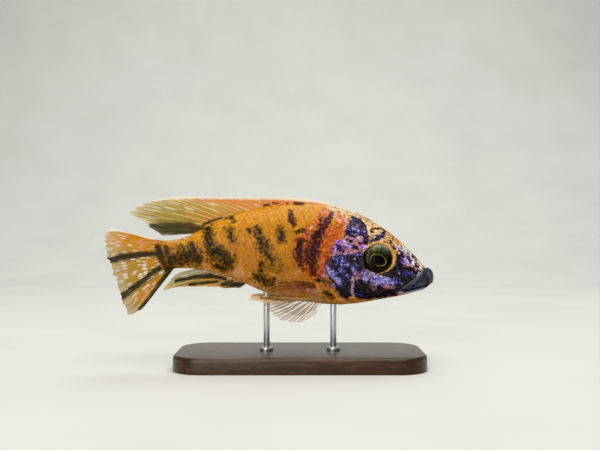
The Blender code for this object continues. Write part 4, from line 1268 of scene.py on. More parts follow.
def eye_shell(name, side, profile, back, size):
    """A round primitive turned to the eye's profile, facing out of one side of the head."""
    sign = 1 if side == "left" else -1
    bpy.ops.mesh.primitive_uv_sphere_add(segments=96, ring_count=64)
    shell = bpy.context.object
    shell.name = shell.data.name = name
    unit = np.array([point.co for point in shell.data.vertices], float)
    front = table(profile, np.hypot(unit[:, 0], unit[:, 1]))
    out = np.where(unit[:, 2] > -1e-4, front, profile[-1][1] - back * np.abs(unit[:, 2]))
    along = unit[:, 0] * EYE_RADII[0] * size
    up = unit[:, 1] * EYE_RADII[1] * size
    y = sign * (eye_reach() + EYE_PLANE + out - EYE_LEAN[0] * along - EYE_LEAN[1] * up)
    points = np.stack([EYE[0] + along, y, EYE[1] + up], axis=-1)
    shell.data.vertices.foreach_set("co", (points * MM).ravel())
    ring, light = ring_values(along, up)
    places = {"upper": 0.5 + 0.5 * unit[:, 1], "front": 0.5 + 0.5 * unit[:, 0]}
    set_values(shell.data, {"ring": ring, "ring_light": light, **places})
    point_outwards(shell)
    return shell


IRIS = (IRIS_PROFILE, IRIS_BACK, IRIS_SIZE)
CORNEA = (CORNEA_PROFILE, CORNEA_BACK, CORNEA_SIZE)
irises = {side: eye_shell(f"iris_{side}", side, *IRIS) for side in SIDES}
corneas = {side: eye_shell(f"cornea_{side}", side, *CORNEA) for side in SIDES}
print("eye reach in mm:", round(eye_reach(), 2))

# %% [markdown]
# The stand is plain shop work: a board of dark hardwood with its corners cut round and its top edge
# broken, and two brushed steel pins, each in a small turned collar. A box and a cylinder are the starting
# shapes, and a few helpers set them in place and bevel the edges that fit a test, as a router would.

# %% Make the board
BASE = (96.0, 44.0, 6.0)
BASE_CORNER, CORNER_STEPS = 12.0, 18
TOP_ROUND, TOP_STEPS = 1.2, 5
CRISP_ANGLE = 35


def place_primitive(name, size, centre):
    """Names, sizes and places a fresh primitive, all in its mesh."""
    piece = bpy.context.object
    piece.name = piece.data.name = name
    piece.scale = [s * MM for s in size]
    piece.location = [c * MM for c in centre]
    bpy.ops.object.transform_apply(location=True, rotation=True, scale=True)
    return piece


def edit_edges(piece, wanted):
    """Opens a piece in edit mode and selects the edges whose ends, in millimetres, fit a test."""
    bpy.context.view_layer.objects.active = piece
    bpy.context.tool_settings.mesh_select_mode = (False, True, False)
    bpy.ops.object.mode_set(mode="EDIT")
    bpy.ops.mesh.select_all(action="DESELECT")
    bpy.ops.object.mode_set(mode="OBJECT")
    for edge in piece.data.edges:
        edge.select = wanted(*[piece.data.vertices[v].co / MM for v in edge.vertices])
    bpy.ops.object.mode_set(mode="EDIT")


def bevel_edges(piece, wanted, width, steps):
    """Rounds the edges whose ends fit a test."""
    edit_edges(piece, wanted)
    bpy.ops.mesh.bevel(offset=width * MM, segments=steps, affect="EDGES")
    bpy.ops.object.mode_set(mode="OBJECT")


def smooth_shade(piece):
    """Smooth shading with crisp edges."""
    bpy.ops.object.select_all(action="DESELECT")
    piece.select_set(True)
    bpy.context.view_layer.objects.active = piece
    bpy.ops.object.shade_smooth_by_angle(angle=math.radians(CRISP_ANGLE))
    piece.select_set(False)


bpy.ops.mesh.primitive_cube_add(size=1)
board = place_primitive("board", BASE, (0, 0, BASE[2] / 2))
bevel_edges(board, lambda a, b: abs(a.z - b.z) > 1, BASE_CORNER, CORNER_STEPS)
bevel_edges(board, lambda a, b: min(a.z, b.z) > BASE[2] - 0.01, TOP_ROUND, TOP_STEPS)
smooth_shade(board)
print("board faces:", len(board.data.polygons))

# %% [markdown]
# The pins and collars are cylinders of their own radius, with both ends broken as on a lathe. A pin's
# height comes from its solid, and a collar is sunk a little into the board.

# %% Turn the pins and collars
ROD_X = 13.0
ROD_RADIUS = 1.2
ROUND_SIDES = 48
COLLAR_RADIUS, COLLAR_HEIGHT, COLLAR_SINK = 2.6, 1.3, 0.2
CHAMFER, CHAMFER_STEPS = 0.25, 3


def turned(name, x, radius, low, high):
    """An upright turned pin or collar."""
    bpy.ops.mesh.primitive_cylinder_add(vertices=ROUND_SIDES, radius=1, depth=1)
    piece = place_primitive(name, (radius, radius, high - low), (x, float(swing(x)), (low + high) / 2))
    bevel_edges(
        piece,
        lambda a, b: max(a.z, b.z) < low + 0.01 or min(a.z, b.z) > high - 0.01,
        CHAMFER,
        CHAMFER_STEPS,
    )
    smooth_shade(piece)
    return piece


rods = {}
for name, x in (("front", ROD_X), ("rear", -ROD_X)):
    low, high = [corner.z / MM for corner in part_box(f"stand_rod_{name}")]
    rod = turned(f"rod_{name}", x, ROD_RADIUS, low, high)
    collar = turned(f"collar_{name}", x, COLLAR_RADIUS, BASE[2] - COLLAR_SINK, BASE[2] + COLLAR_HEIGHT)
    rods[name] = (rod, collar)
print("stand pieces:", 1 + sum(len(pair) for pair in rods.values()))

# %% [markdown]
# ## The finishes
#
# Live fish skin is a wet, slightly see-through layer over pigment cells. The colour comes in grains of a
# few tenths of a millimetre: orange and yellow cells everywhere, black cells crowded in the blotches, and
# mirror-like blue cells on the face. So every marking is laid over the last with an edge that noise of
# that grain frays.
#
# Each row of the table is one layer: the name of its marks, a dark, a middle and a light shade, how much
# noise frays its edge, how far the edge is drawn in, how soft it is, and how much the layer covers.

# %% The layers of colour
# Pale at the belly: partly the fish's own colour and partly painted light, bounced up onto the shaded
# underside.
BODY_RAMP = ((0.0, "#cc9668"), (0.14, "#bc804a"), (0.45, "#a5681e"), (0.75, "#ba7c22"), (1.0, "#cc8c26"))
LAYERS = (
    ("red", ("#843416", "#a84824", "#c27046"), 0.70, 0.04, 0.24, 0.92),
    ("rose", ("#b0644c", "#d28c78", "#f0c8bc"), 1.10, 0.0, 0.14, 0.85),
    ("magenta", ("#5e2830", "#7c3a42", "#a06870"), 0.90, 0.0, 0.16, 0.75),
    ("cream", ("#9c6c3c", "#d2b07a", "#f0e0c0"), 0.45, 0.0, 0.12, 1.0),
    ("gold", ("#8e6430", "#b98c50", "#d8b680"), 0.60, 0.0, 0.12, 0.9),
    ("olive", ("#3c300e", "#624a14", "#86641c"), 0.90, 0.0, 0.20, 0.7),
    ("maroon", ("#5a2410", "#7c3c1c", "#a0602c"), 0.80, -0.14, 0.26, 0.6),
    ("maroon", ("#120506", "#2e0e0c", "#662e26"), 0.80, 0.03, 0.24, 0.95),
    ("dark", ("#50360e", "#75501a", "#9c6e24"), 0.90, -0.16, 0.22, 0.6),
    ("dark", ("#0a0602", "#1c1105", "#5c4020"), 0.80, 0.04, 0.27, 0.95),
    ("face", ("#1a171a", "#2a2830", "#4c4758"), 0.35, 0.0, 0.10, 1.0),
    ("pink", ("#583a54", "#8a627c", "#c09cb0"), 0.90, 0.0, 0.14, 0.85),
    ("navy", ("#141a44", "#263a70", "#4c64a0"), 0.90, 0.0, 0.14, 0.8),
    ("lilac", ("#75658a", "#b0a2b8", "#e6dce2"), 0.95, 0.0, 0.10, 0.85),
    ("sky", ("#3e3b84", "#7f7cc0", "#d0caee"), 1.00, 0.0, 0.10, 0.88),
    ("orchid", ("#6c3c96", "#a874cc", "#dcb4f0"), 0.80, 0.0, 0.12, 0.9),
    ("rust", ("#5e342c", "#865244", "#b08070"), 0.80, 0.0, 0.12, 0.85),
    ("brown", ("#24140a", "#44281a", "#7c5430"), 1.00, 0.0, 0.12, 0.95),
    ("streak", ("#16070c", "#30121c", "#5c2c3c"), 0.80, 0.05, 0.12, 0.95),
    ("indigo", ("#0b0a1c", "#1a1636", "#4c4470"), 0.90, -0.04, 0.12, 0.97),
    ("black", ("#141215", "#252226", "#484248"), 0.75, 0.0, 0.10, 0.95),
)
print("layers of colour:", len(LAYERS))

# %% [markdown]
# Two helpers do the painting: one makes noise in clumps of a given size, and the other lays one colour
# over another as far as a value says. The ground colour runs from belly to back and drifts in wide
# clouds. The layers lie over it with edges frayed by the two finer grains.

# %% The fish's pattern
CLOUD, GRAIN, SPECK = 3.6, 1.1, 0.42


def pigment_grain(tree, place, size, detail, limits=(0.32, 0.68)):
    """Clumps of pigment cells of a size in millimetres, as a value from 0 to 1."""
    noise = add(tree, "TexNoise", {"Scale": 1 / (size * MM), "Detail": detail}, {"Vector": place})
    settings = dict(zip(("From Min", "From Max"), limits))
    return add(tree, "MapRange", settings, {"Value": noise})


def paint_over(tree, colour, layers):
    """Lays layers of (cover, paint) one over the other; a paint is a hex colour or a socket."""
    for cover, paint in layers:
        fixed = {7: linear(paint)} if isinstance(paint, str) else {}
        links = {0: cover, 6: colour} if fixed else {0: cover, 6: colour, 7: paint}
        colour = add(tree, "Mix", {"data_type": "RGBA", **fixed}, links).outputs[2]
    return colour


def fish_colour(tree, tone):
    """The fish's own pattern over its skin, with tone making each scale a little lighter or darker."""
    place = add(tree, "TexCoord").outputs["Object"]
    cloud = pigment_grain(tree, place, CLOUD, 2.0)
    grain = pigment_grain(tree, place, GRAIN, 3.0)
    speck = pigment_grain(tree, place, SPECK, 2.0)
    drift = add(tree, "Math MULTIPLY_ADD", {1: 0.30, 2: -0.15}, {0: cloud})
    level = add(tree, "Math ADD", {}, {0: "height", 1: drift})
    # The ground colour, paler towards the belly, partly as painted bounce light.
    base = add(tree, "ValToRGB", {"stops": BODY_RAMP}, {"Fac": level})
    both = add(tree, "Math MULTIPLY_ADD", {1: 0.55}, {0: grain, 2: speck})
    brown = add(tree, "MapRange", {"From Min": 0.9, "From Max": 1.3, "To Max": 0.6}, {"Value": both})
    colour = paint_over(tree, base, ((brown, "#6c3f0e"),))
    fine = add(tree, "Math MULTIPLY", {1: 0.50}, {0: grain})
    fine = add(tree, "Math MULTIPLY_ADD", {1: 0.30}, {0: speck, 2: fine})
    fringe = add(tree, "Math MULTIPLY_ADD", {1: 0.20}, {0: tone, 2: fine})
    mottle = add(tree, "Math MULTIPLY_ADD", {1: 0.5, 2: 0.625}, {0: speck})
    mottle = add(tree, "Math MULTIPLY_ADD", {1: -0.75}, {0: grain, 2: mottle})
    for name, codes, fray, bias, softness, strength in LAYERS:
        rough = add(tree, "Math MULTIPLY_ADD", {1: fray}, {0: fringe, 2: name})
        middle = (1 + fray) / 2 + bias
        limits = {"From Min": middle - softness, "From Max": middle + softness, "To Max": strength}
        cover = add(tree, "MapRange", limits, {"Value": rough})
        shades = tuple(zip((0.1, 0.5, 0.95), codes))
        shade = add(tree, "ValToRGB", {"stops": shades}, {"Fac": mottle})
        colour = paint_over(tree, colour, ((cover, shade),))
    return colour, place, grain, speck


print("pigment clumps in mm:", CLOUD, GRAIN, SPECK)

# %% [markdown]
# Over the pattern lie dark freckles on the pale forehead, blue-violet glints on the face and the gold ring
# round the eye. Voronoi cells, stirred by noise and about as wide as a face scale, place the glints.

# %% Freckles and glints
GLINT = 1.15
STIR = 1.3


def freckles(tree, cells, pick):
    """Dark freckles, one in three cells, on the pale forehead and snout only."""
    spot = add(tree, "MapRange", {"From Min": 0.44, "From Max": 0.28}, {"Value": cells.outputs["Distance"]})
    some = add(tree, "MapRange", {"From Min": 0.56, "From Max": 0.60}, {"Value": pick})
    pale = add(tree, "Math MAXIMUM", {}, {0: "cream", 1: "lilac"})
    area = add(tree, "MapRange", {"From Min": 0.3, "From Max": 0.6}, {"Value": pale})
    kept = add(tree, "Math MULTIPLY", {}, {0: some, 1: spot})
    return add(tree, "Math MULTIPLY", {}, {0: kept, 1: area})


def mirror_cells(tree, cells, pick, grain):
    """Where blue-violet mirror cells show: lone spots, and sheets where they crowd."""
    size = add(tree, "Math MULTIPLY_ADD", {1: 0.22}, {0: pick.outputs[2], 2: cells.outputs["Distance"]})
    spot = add(tree, "MapRange", {"From Min": 0.56, "From Max": 0.40}, {"Value": size})
    base = add(tree, "Math MULTIPLY_ADD", {1: 0.24}, {0: "face", 2: "violet"})
    chance = add(tree, "Math ADD", {}, {0: base, 1: pick})
    chosen = add(tree, "MapRange", {"From Min": 1.06, "From Max": 1.20}, {"Value": chance})
    lone = add(tree, "Math MULTIPLY", {}, {0: spot, 1: chosen})
    crowd = add(tree, "Math MULTIPLY_ADD", {1: 0.9}, {0: grain, 2: "violet"})
    sheet = add(tree, "MapRange", {"From Min": 1.28, "From Max": 1.5, "To Max": 0.8}, {"Value": crowd})
    return add(tree, "Math MAXIMUM", {}, {0: lone, 1: sheet})


def glints(tree, colour, place, grain, speck, tone):
    """Freckles, blue-violet glints, the gold ring round the eye, and the tone of each scale."""
    stir = add(tree, "TexNoise", {"Scale": 1 / (STIR * MM), "Detail": 2.0}, {"Vector": place})
    pull = (1.5 * MM,) * 3
    stirred = add(tree, "VectorMath MULTIPLY_ADD", {1: pull}, {0: stir.outputs["Color"], 2: place})
    cells = add(tree, "TexVoronoi", {"Scale": 1 / (GLINT * MM)}, {"Vector": stirred})
    pick = add(tree, "SeparateColor", {}, {"Color": cells.outputs["Color"]})
    shine = mirror_cells(tree, cells, pick, grain)
    shades = ((0.0, "#1f1d50"), (0.35, "#3a3882"), (0.62, "#6864b2"), (0.84, "#9e9ad4"), (1.0, "#e0d8f0"))
    blend = add(tree, "Math MULTIPLY", {1: 0.3}, {0: speck})
    blend = add(tree, "Math MULTIPLY_ADD", {1: 0.7}, {0: pick.outputs[1], 2: blend})
    shade = add(tree, "ValToRGB", {"stops": shades}, {"Fac": blend})
    ring = add(tree, "Math MULTIPLY_ADD", {1: 0.5}, {0: grain, 2: "orbit"})
    ring = add(tree, "MapRange", {"From Min": 0.6, "From Max": 0.9}, {"Value": ring})
    gold = add(tree, "ValToRGB", {"stops": ((0.1, "#8a6840"), (0.9, "#e0b672"))}, {"Fac": speck})
    layers = ((freckles(tree, cells, pick), "#54301a"), (shine, shade), (ring, gold))
    colour = paint_over(tree, colour, layers)
    bright = add(tree, "MapRange", {"To Min": 0.80, "To Max": 0.98}, {"Value": tone})
    bright = add(tree, "Math MULTIPLY_ADD", {1: 0.28}, {0: speck, 2: bright})
    return add(tree, "HueSaturation", {}, {"Value": bright, "Color": colour})


print("width of a glint's cell in mm:", GLINT)

# %% [markdown]
# The bare skin of the face is smooth and wet, with fine grain and pores. The lips are slate blue, with
# pale lower edges and a painted highlight along their front, where they catch the light. The skin's
# pattern comes from the functions above, and the lips, the painted shade of the folds and the painted
# shade in the eye's seat are mixed over it.

# %% Finish: wet fish skin
def wet_skin():
    """Wet skin of a fish: pigment under a clear, uneven slime coat."""
    material, tree = empty_material("wet_fish_skin")
    place = add(tree, "TexCoord").outputs["Object"]
    patch = pigment_grain(tree, place, 1.7, 1.0)
    pattern = fish_colour(tree, patch)
    colour = glints(tree, *pattern, patch)
    lip_noise = pigment_grain(tree, place, 1.6, 4.0)
    shades = ((0.1, "#2a2d3a"), (0.45, "#3a3e4a"), (0.9, "#505159"))
    slate = add(tree, "ValToRGB", {"stops": shades}, {"Fac": lip_noise})
    # The lips' pale edges, with a painted highlight along their front.
    pale = add(tree, "Math MULTIPLY", {1: 0.8}, {0: "lip_edge"})
    # Painted shade: the skin in the eye's sunk seat, round the iris, is painted near black.
    seat = add(tree, "MapRange", {"From Min": 1.01, "From Max": 0.97}, {"Value": "eye_rim"})
    # Painted shade: the folds and the mouth line are darkened towards near black.
    shade = add(tree, "Math MULTIPLY", {1: 0.65}, {0: "groove"})
    layers = (("lip", slate), (pale, "#b3a8ac"), (shade, "#140e14"), (seat, "#120d09"))
    colour = paint_over(tree, colour, layers)
    fine = add(tree, "TexVoronoi", {"Scale": 1 / (0.34 * MM)}, {"Vector": place})
    bump = add(tree, "Bump", {"Strength": 0.22, "Distance": 0.05 * MM}, {"Height": fine.outputs["Distance"]})
    wet = add(tree, "MapRange", {"To Min": 0.26, "To Max": 0.46}, {"Value": lip_noise})
    shader = add(
        tree,
        "BsdfPrincipled",
        {"IOR": 1.36, "Coat Weight": 0.22, "Coat Roughness": 0.2, "Coat IOR": 1.34},
        {"Base Color": colour, "Roughness": wet, "Normal": bump},
    )
    add(tree, "OutputMaterial", {}, {"Surface": shader})
    return material


skin.data.materials.append(wet_skin())
print("finished: skin")

# %% [markdown]
# A scale is a clear, thin bone plate with pigment under it. Its free edge is a little darker where the
# next scale's front lies under it, it has fine growth ridges, and it shines where it domes.

# %% Finish: scale plates
def scale_plates():
    """Overlapping bone plates, clear over pigment, with growth ridges near the free edge."""
    material, tree = empty_material("fish_scale_plates")
    pattern = fish_colour(tree, "tone")
    colour = glints(tree, *pattern, "tone")
    border = add(tree, "MapRange", {"From Min": 0.80, "From Max": 1.0, "To Max": 0.05}, {"Value": "edge"})
    colour = paint_over(tree, colour, ((border, "#55300f"),))
    rings = add(tree, "Math MULTIPLY", {1: 60.0}, {0: "edge"})
    wave = add(tree, "Math SINE", {}, {0: rings})
    bump = add(tree, "Bump", {"Strength": 0.15, "Distance": 0.02 * MM}, {"Height": wave})
    shader = add(
        tree,
        "BsdfPrincipled",
        {"Roughness": 0.42, "IOR": 1.38, "Coat Weight": 0.15, "Coat Roughness": 0.2, "Coat IOR": 1.34},
        {"Base Color": colour, "Normal": bump},
    )
    add(tree, "OutputMaterial", {}, {"Surface": shader})
    return material


plates = scale_plates()
for coat in coats:
    coat.data.materials.append(plates)
print("finished: scales")

# %% [markdown]
# Fin web is a thin, partly clear skin. What shows is the colour of its pigment streaks, which run along
# the rays, pale or dark dashes between the rays, and the white front edge. Each fin has its own colours,
# so one function builds the finish from a short list.

# %% Finish: fin webs
def web_dashes(tree, sheet, dashes):
    """Pale dashes between the rays, some strong and some faint."""
    scale = (dashes["per_fin"], dashes["along"], 1.0)
    stretch = add(tree, "Mapping", {"Scale": scale}, {"Vector": sheet})
    settings = {"voronoi_dimensions": "2D", "Scale": 1.0, "Randomness": 0.8}
    cells = add(tree, "TexVoronoi", settings, {"Vector": stretch})
    pick = add(tree, "SeparateColor", {}, {"Color": cells.outputs["Color"]})
    dash = add(tree, "MapRange", {"From Min": 0.44, "From Max": 0.30}, {"Value": cells.outputs["Distance"]})
    limit = 1 - dashes["share"]
    limits = {"From Min": limit - 0.02, "From Max": limit + 0.02}
    few = add(tree, "MapRange", limits, {"Value": pick})
    chosen = add(tree, "Math MULTIPLY", {}, {0: dash, 1: few})
    faint = add(tree, "MapRange", {"To Min": 0.55, "To Max": 1.0}, {"Value": pick.outputs[1]})
    return add(tree, "Math MULTIPLY", {}, {0: chosen, 1: faint})


def fin_web(name, ramp, marks, dashes, tips, rays, root, opacity):
    """Thin pigmented fin web, streaked along its rays, with dashes between them and pale tips."""
    material, tree = empty_material(name)
    sheet = add(tree, "UVMap", {"uv_map": "UVMap"}).outputs["UV"]
    place = add(tree, "TexCoord").outputs["Object"]
    spots = pigment_grain(tree, place, 1.0, 3.0)
    across = add(tree, "SeparateXYZ", {}, {"Vector": sheet})
    drift = add(tree, "Math MULTIPLY_ADD", {1: 0.10, 2: -0.05}, {0: spots})
    share = add(tree, "Math ADD", {}, {0: across.outputs["X"], 1: drift})
    colour = add(tree, "ValToRGB", {"stops": ramp}, {"Fac": share})
    lay = add(tree, "Mapping", {"Scale": (dashes["per_fin"] * 2.6, 4.5, 1.0)}, {"Vector": sheet})
    noise = add(tree, "TexNoise", {"Scale": 1.0, "Detail": 3.0, "Roughness": 0.65}, {"Vector": lay})
    streaks = add(tree, "MapRange", {"From Min": 0.32, "From Max": 0.68}, {"Value": noise})
    dark = add(tree, "MapRange", {"From Min": 0.55, "From Max": 0.95, "To Max": 0.55}, {"Value": streaks})
    line = add(tree, "Math MULTIPLY", {1: rays["strength"]}, {0: "ray"})
    reach = add(tree, "Math MULTIPLY_ADD", {1: tips["fray"]}, {0: streaks, 2: across.outputs["Y"]})
    limits = {"From Min": tips["start"], "From Max": tips["end"], "To Max": tips["strength"]}
    edge = add(tree, "MapRange", limits, {"Value": reach})
    limits = {"From Min": root["reach"], "From Max": 0.08, "To Max": root["strength"]}
    base = add(tree, "MapRange", limits, {"Value": across.outputs["Y"]})
    layers = (
        (base, root["code"]),
        (dark, dashes["shadow"]),
        (line, rays["code"]),
        (web_dashes(tree, sheet, dashes), dashes["code"]),
        (edge, tips["code"]),
    )
    colour = paint_over(tree, colour, layers)
    limits = {"From Min": 0.2, "To Min": opacity[0], "To Max": opacity[1]}
    solid = add(tree, "MapRange", limits, {"Value": "ray"})
    for mark_name, code, strength in marks:
        rough = add(tree, "Math MULTIPLY_ADD", {1: 0.6}, {0: streaks, 2: mark_name})
        limits = {"From Min": 0.64, "From Max": 0.94, "To Max": strength}
        cover = add(tree, "MapRange", limits, {"Value": rough})
        colour = paint_over(tree, colour, ((cover, code),))
        solid = add(tree, "Math MAXIMUM", {}, {0: solid, 1: cover})
    shader = add(
        tree,
        "BsdfPrincipled",
        {"Roughness": 0.4, "IOR": 1.4, "Coat Weight": 0.15, "Coat Roughness": 0.2},
        {"Base Color": colour, "Alpha": solid},
    )
    add(tree, "OutputMaterial", {}, {"Surface": shader})
    return material


print("fins to finish:", len(fins))

# %% [markdown]
# Each list below holds the colours from the first ray to the last, the marks from the lowest to the
# topmost, the dashes between the rays, the free edge, the rays, the root, and how solid the web is
# between the rays and on them. The pectoral fin is nearly clear, as on the living fish.

# %% Finish: the fins' colours
FIN_LOOKS = {
    "dorsal": fin_web(
        "dorsal_fin_web",
        (
            (0.0, "#df9260"), (0.30, "#dc9458"), (0.50, "#d89c58"),
            (0.64, "#c89a4c"), (0.80, "#9c8c42"), (0.95, "#86803c"),
        ),
        (
            ("dorsal_orange", "#d67a44", 0.6), ("dorsal_olive", "#94843c", 0.45),
            ("dorsal_black", "#211c10", 0.88), ("dorsal_spots", "#2c1a0c", 0.9),
            ("dorsal_white", "#f7ead2", 0.9),
        ),
        dict(per_fin=60.0, along=4.0, share=0.20, code="#e6d6bc", shadow="#8a5a22"),
        dict(code="#f6ead8", start=1.0, end=1.26, fray=0.34, strength=0.95),
        dict(code="#efcba2", strength=0.62),
        dict(code="#c58630", reach=0.62, strength=0.85),
        (0.90, 0.99),
    ),
    "caudal": fin_web(
        "tail_fin_web",
        (
            (0.0, "#c48c2c"), (0.22, "#c98826"), (0.42, "#a4812e"),
            (0.60, "#a9842e"), (0.78, "#a27c2c"), (1.0, "#94803a"),
        ),
        (
            ("caudal_orange", "#c27a22", 0.65), ("caudal_black", "#1f180d", 0.94),
            ("caudal_white", "#f8f0e6", 1.0),
        ),
        dict(per_fin=34.0, along=9.0, share=0.42, code="#e6dcde", shadow="#5f4718"),
        dict(code="#b9b098", start=0.94, end=1.26, fray=0.40, strength=0.75),
        dict(code="#cba254", strength=0.35),
        dict(code="#b8801f", reach=0.30, strength=0.6),
        (0.94, 1.0),
    ),
    "anal": fin_web(
        "anal_fin_web",
        ((0.0, "#a5672a"), (0.3, "#b98432"), (0.55, "#b09448"), (0.75, "#a8a078"), (1.0, "#b0aa86")),
        (("anal_orange", "#c4963c", 0.9), ("anal_black", "#1d160d", 0.95)),
        dict(per_fin=20.0, along=4.0, share=0.15, code="#d8d0bc", shadow="#5a4520"),
        dict(code="#e0c98c", start=1.0, end=1.25, fray=0.3, strength=0.6),
        dict(code="#cdb988", strength=0.4),
        dict(code="#a8702a", reach=0.40, strength=0.6),
        (0.72, 0.92),
    ),
    "pectoral": fin_web(
        "pectoral_fin_web",
        ((0.0, "#704630"), (0.20, "#92603e"), (0.36, "#c0926c"), (0.70, "#caa480"), (1.0, "#d4b890")),
        # The pectoral fin's marks: dark rays, and a painted highlight at its root.
        (("pectoral_dark", "#45241a", 0.70), ("pectoral_pale", "#d8a878", 0.7)),
        dict(per_fin=26.0, along=4.0, share=0.04, code="#e0d2bc", shadow="#7a4c2e"),
        dict(code="#d9c8a8", start=1.0, end=1.3, fray=0.3, strength=0.5),
        dict(code="#5a341c", strength=0.6),
        dict(code="#7a4220", reach=0.20, strength=0.5),
        (0.10, 0.86),
    ),
    "pelvic": fin_web(
        "pelvic_fin_web",
        ((0.0, "#efe2c4"), (0.08, "#d8bc88"), (0.16, "#c4964a"), (0.5, "#bc8a3c"), (1.0, "#c09450")),
        (("pelvic_black", "#2a170c", 0.85),),
        dict(per_fin=12.0, along=5.0, share=0.18, code="#e0d4ba", shadow="#4a3016"),
        dict(code="#f0e4c8", start=0.95, end=1.2, fray=0.3, strength=0.8),
        dict(code="#d6ae70", strength=0.5),
        dict(code="#b07c34", reach=0.20, strength=0.5),
        (0.7, 0.95),
    ),
}
for name, fin in fins.items():
    fin.data.materials.append(FIN_LOOKS[name.split("_")[0]])
print("fin finishes:", len(FIN_LOOKS))

# %% [markdown]
# The iris is dark olive brown with green-gold flecks, and its inner edge is a hair-thin gold ring. It is
# painted lighter and greener towards the top as a painted sheen, with a painted pale blue reflection at
# its upper front.
# The pupil is a black lens. The cornea over it is clear and very smooth, with the refractive index of a
# real one, 1.376.

# %% Finish: eye
MOST_LIT = 1.34
CORNEA_IOR = 1.376


def iris_look():
    """Dark iris with a thin gold ring and black pupil, a painted sheen towards the top and a painted
    reflection at its upper front.
    """
    material, tree = empty_material("fish_iris")
    place = add(tree, "TexCoord").outputs["Object"]
    fleck = pigment_grain(tree, place, 0.9, 4.0)
    blue = pigment_grain(tree, place, 1.6, 1.0)
    # Painted sheen: the iris gets lighter and greener towards its top.
    lit = add(tree, "Math MULTIPLY_ADD", {1: 0.34}, {0: fleck, 2: "upper"})
    shades = ((0.45, "#120c08"), (0.78, "#241c12"), (0.94, "#525336"), (1.08, "#868c68"), (1.26, "#b4ba98"))
    stops = tuple((level / MOST_LIT, code) for level, code in shades)
    scaled = add(tree, "Math DIVIDE", {1: MOST_LIT}, {0: lit})
    colour = add(tree, "ValToRGB", {"stops": stops}, {"Fac": scaled})
    # Painted reflection: a pale blue patch at the iris's upper front.
    sky = add(tree, "Math MULTIPLY", {}, {0: "upper", 1: "front"})
    sky = add(tree, "Math MULTIPLY", {}, {0: sky, 1: blue})
    sky = add(tree, "MapRange", {"From Min": 0.25, "From Max": 0.6, "To Max": 0.55}, {"Value": sky})
    away = add(tree, "Math SUBTRACT", {1: 1.0}, {0: "ring"})
    near = add(tree, "Math ABSOLUTE", {}, {0: away})
    gold = add(tree, "MapRange", {"From Min": 0.075, "From Max": 0.03}, {"Value": near})
    gold = add(tree, "Math MULTIPLY", {}, {0: gold, 1: "ring_light"})
    pupil = add(tree, "MapRange", {"From Min": 0.955, "From Max": 0.925}, {"Value": "ring"})
    layers = ((sky, "#7f8fa6"), (gold, "#dcc88c"), (pupil, "#030303"))
    colour = paint_over(tree, colour, layers)
    shader = add(
        tree,
        "BsdfPrincipled",
        {"Roughness": 0.4, "IOR": 1.42, "Coat Weight": 0.15, "Coat Roughness": 0.05},
        {"Base Color": colour},
    )
    add(tree, "OutputMaterial", {}, {"Surface": shader})
    return material


def cornea_look():
    """Clear wet cornea: light passes, and only the gloss shows."""
    material, tree = empty_material("clear_cornea")
    gloss = add(tree, "BsdfPrincipled", {"Base Color": (0, 0, 0, 1), "Roughness": 0.04, "IOR": CORNEA_IOR})
    clear = add(tree, "BsdfTransparent")
    facing = add(tree, "Fresnel", {"IOR": CORNEA_IOR})
    cover = add(tree, "MapRange", {"To Min": 0.06, "To Max": 1.0}, {"Value": facing})
    mixed = add(tree, "MixShader", {}, {0: cover, 1: clear, 2: gloss})
    add(tree, "OutputMaterial", {}, {"Surface": mixed})
    return material


iris_finish, cornea_finish = iris_look(), cornea_look()
for side in SIDES:
    irises[side].data.materials.append(iris_finish)
    corneas[side].data.materials.append(cornea_finish)
print("finished eyes")

# %% [markdown]
# The board is dark stained hardwood under satin varnish. Its grain runs along it, with a slow figure and
# fine pores. The pins are brushed steel, and the scratches run round them.

# %% Finish: wood and steel
def stained_wood():
    """Dark stained hardwood under satin varnish."""
    material, tree = empty_material("stained_hardwood_satin")
    place = add(tree, "TexCoord").outputs["Object"]
    figure = add(tree, "TexNoise", {"Scale": 1 / (22 * MM), "Detail": 2.0}, {"Vector": place})
    pull = add(tree, "VectorMath SCALE", {"Scale": 4 * MM}, {0: figure.outputs["Color"]})
    bent = add(tree, "VectorMath ADD", {}, {0: place, 1: pull})
    lay = add(tree, "Mapping", {"Scale": (0.05, 1.0, 1.0)}, {"Vector": bent})
    grain = add(tree, "TexNoise", {"Scale": 1 / (1.6 * MM), "Detail": 5.0, "Roughness": 0.7}, {"Vector": lay})
    pores = add(tree, "TexNoise", {"Scale": 1 / (0.35 * MM), "Detail": 1.0}, {"Vector": lay})
    colour = add(
        tree,
        "ValToRGB",
        {"stops": ((0.3, "#1f120b"), (0.5, "#3a2417"), (0.68, "#573a25"))},
        {"Fac": grain},
    )
    pit = add(tree, "MapRange", {"From Min": 0.58, "From Max": 0.68, "To Max": 0.7}, {"Value": pores})
    dark = paint_over(tree, colour, ((pit, "#140b06"),))
    bump = add(tree, "Bump", {"Strength": 0.25, "Distance": 0.05 * MM}, {"Height": pores})
    shader = add(
        tree,
        "BsdfPrincipled",
        {"Roughness": 0.42, "IOR": 1.5, "Coat Weight": 0.4, "Coat Roughness": 0.25},
        {"Base Color": dark, "Normal": bump},
    )
    add(tree, "OutputMaterial", {}, {"Surface": shader})
    return material


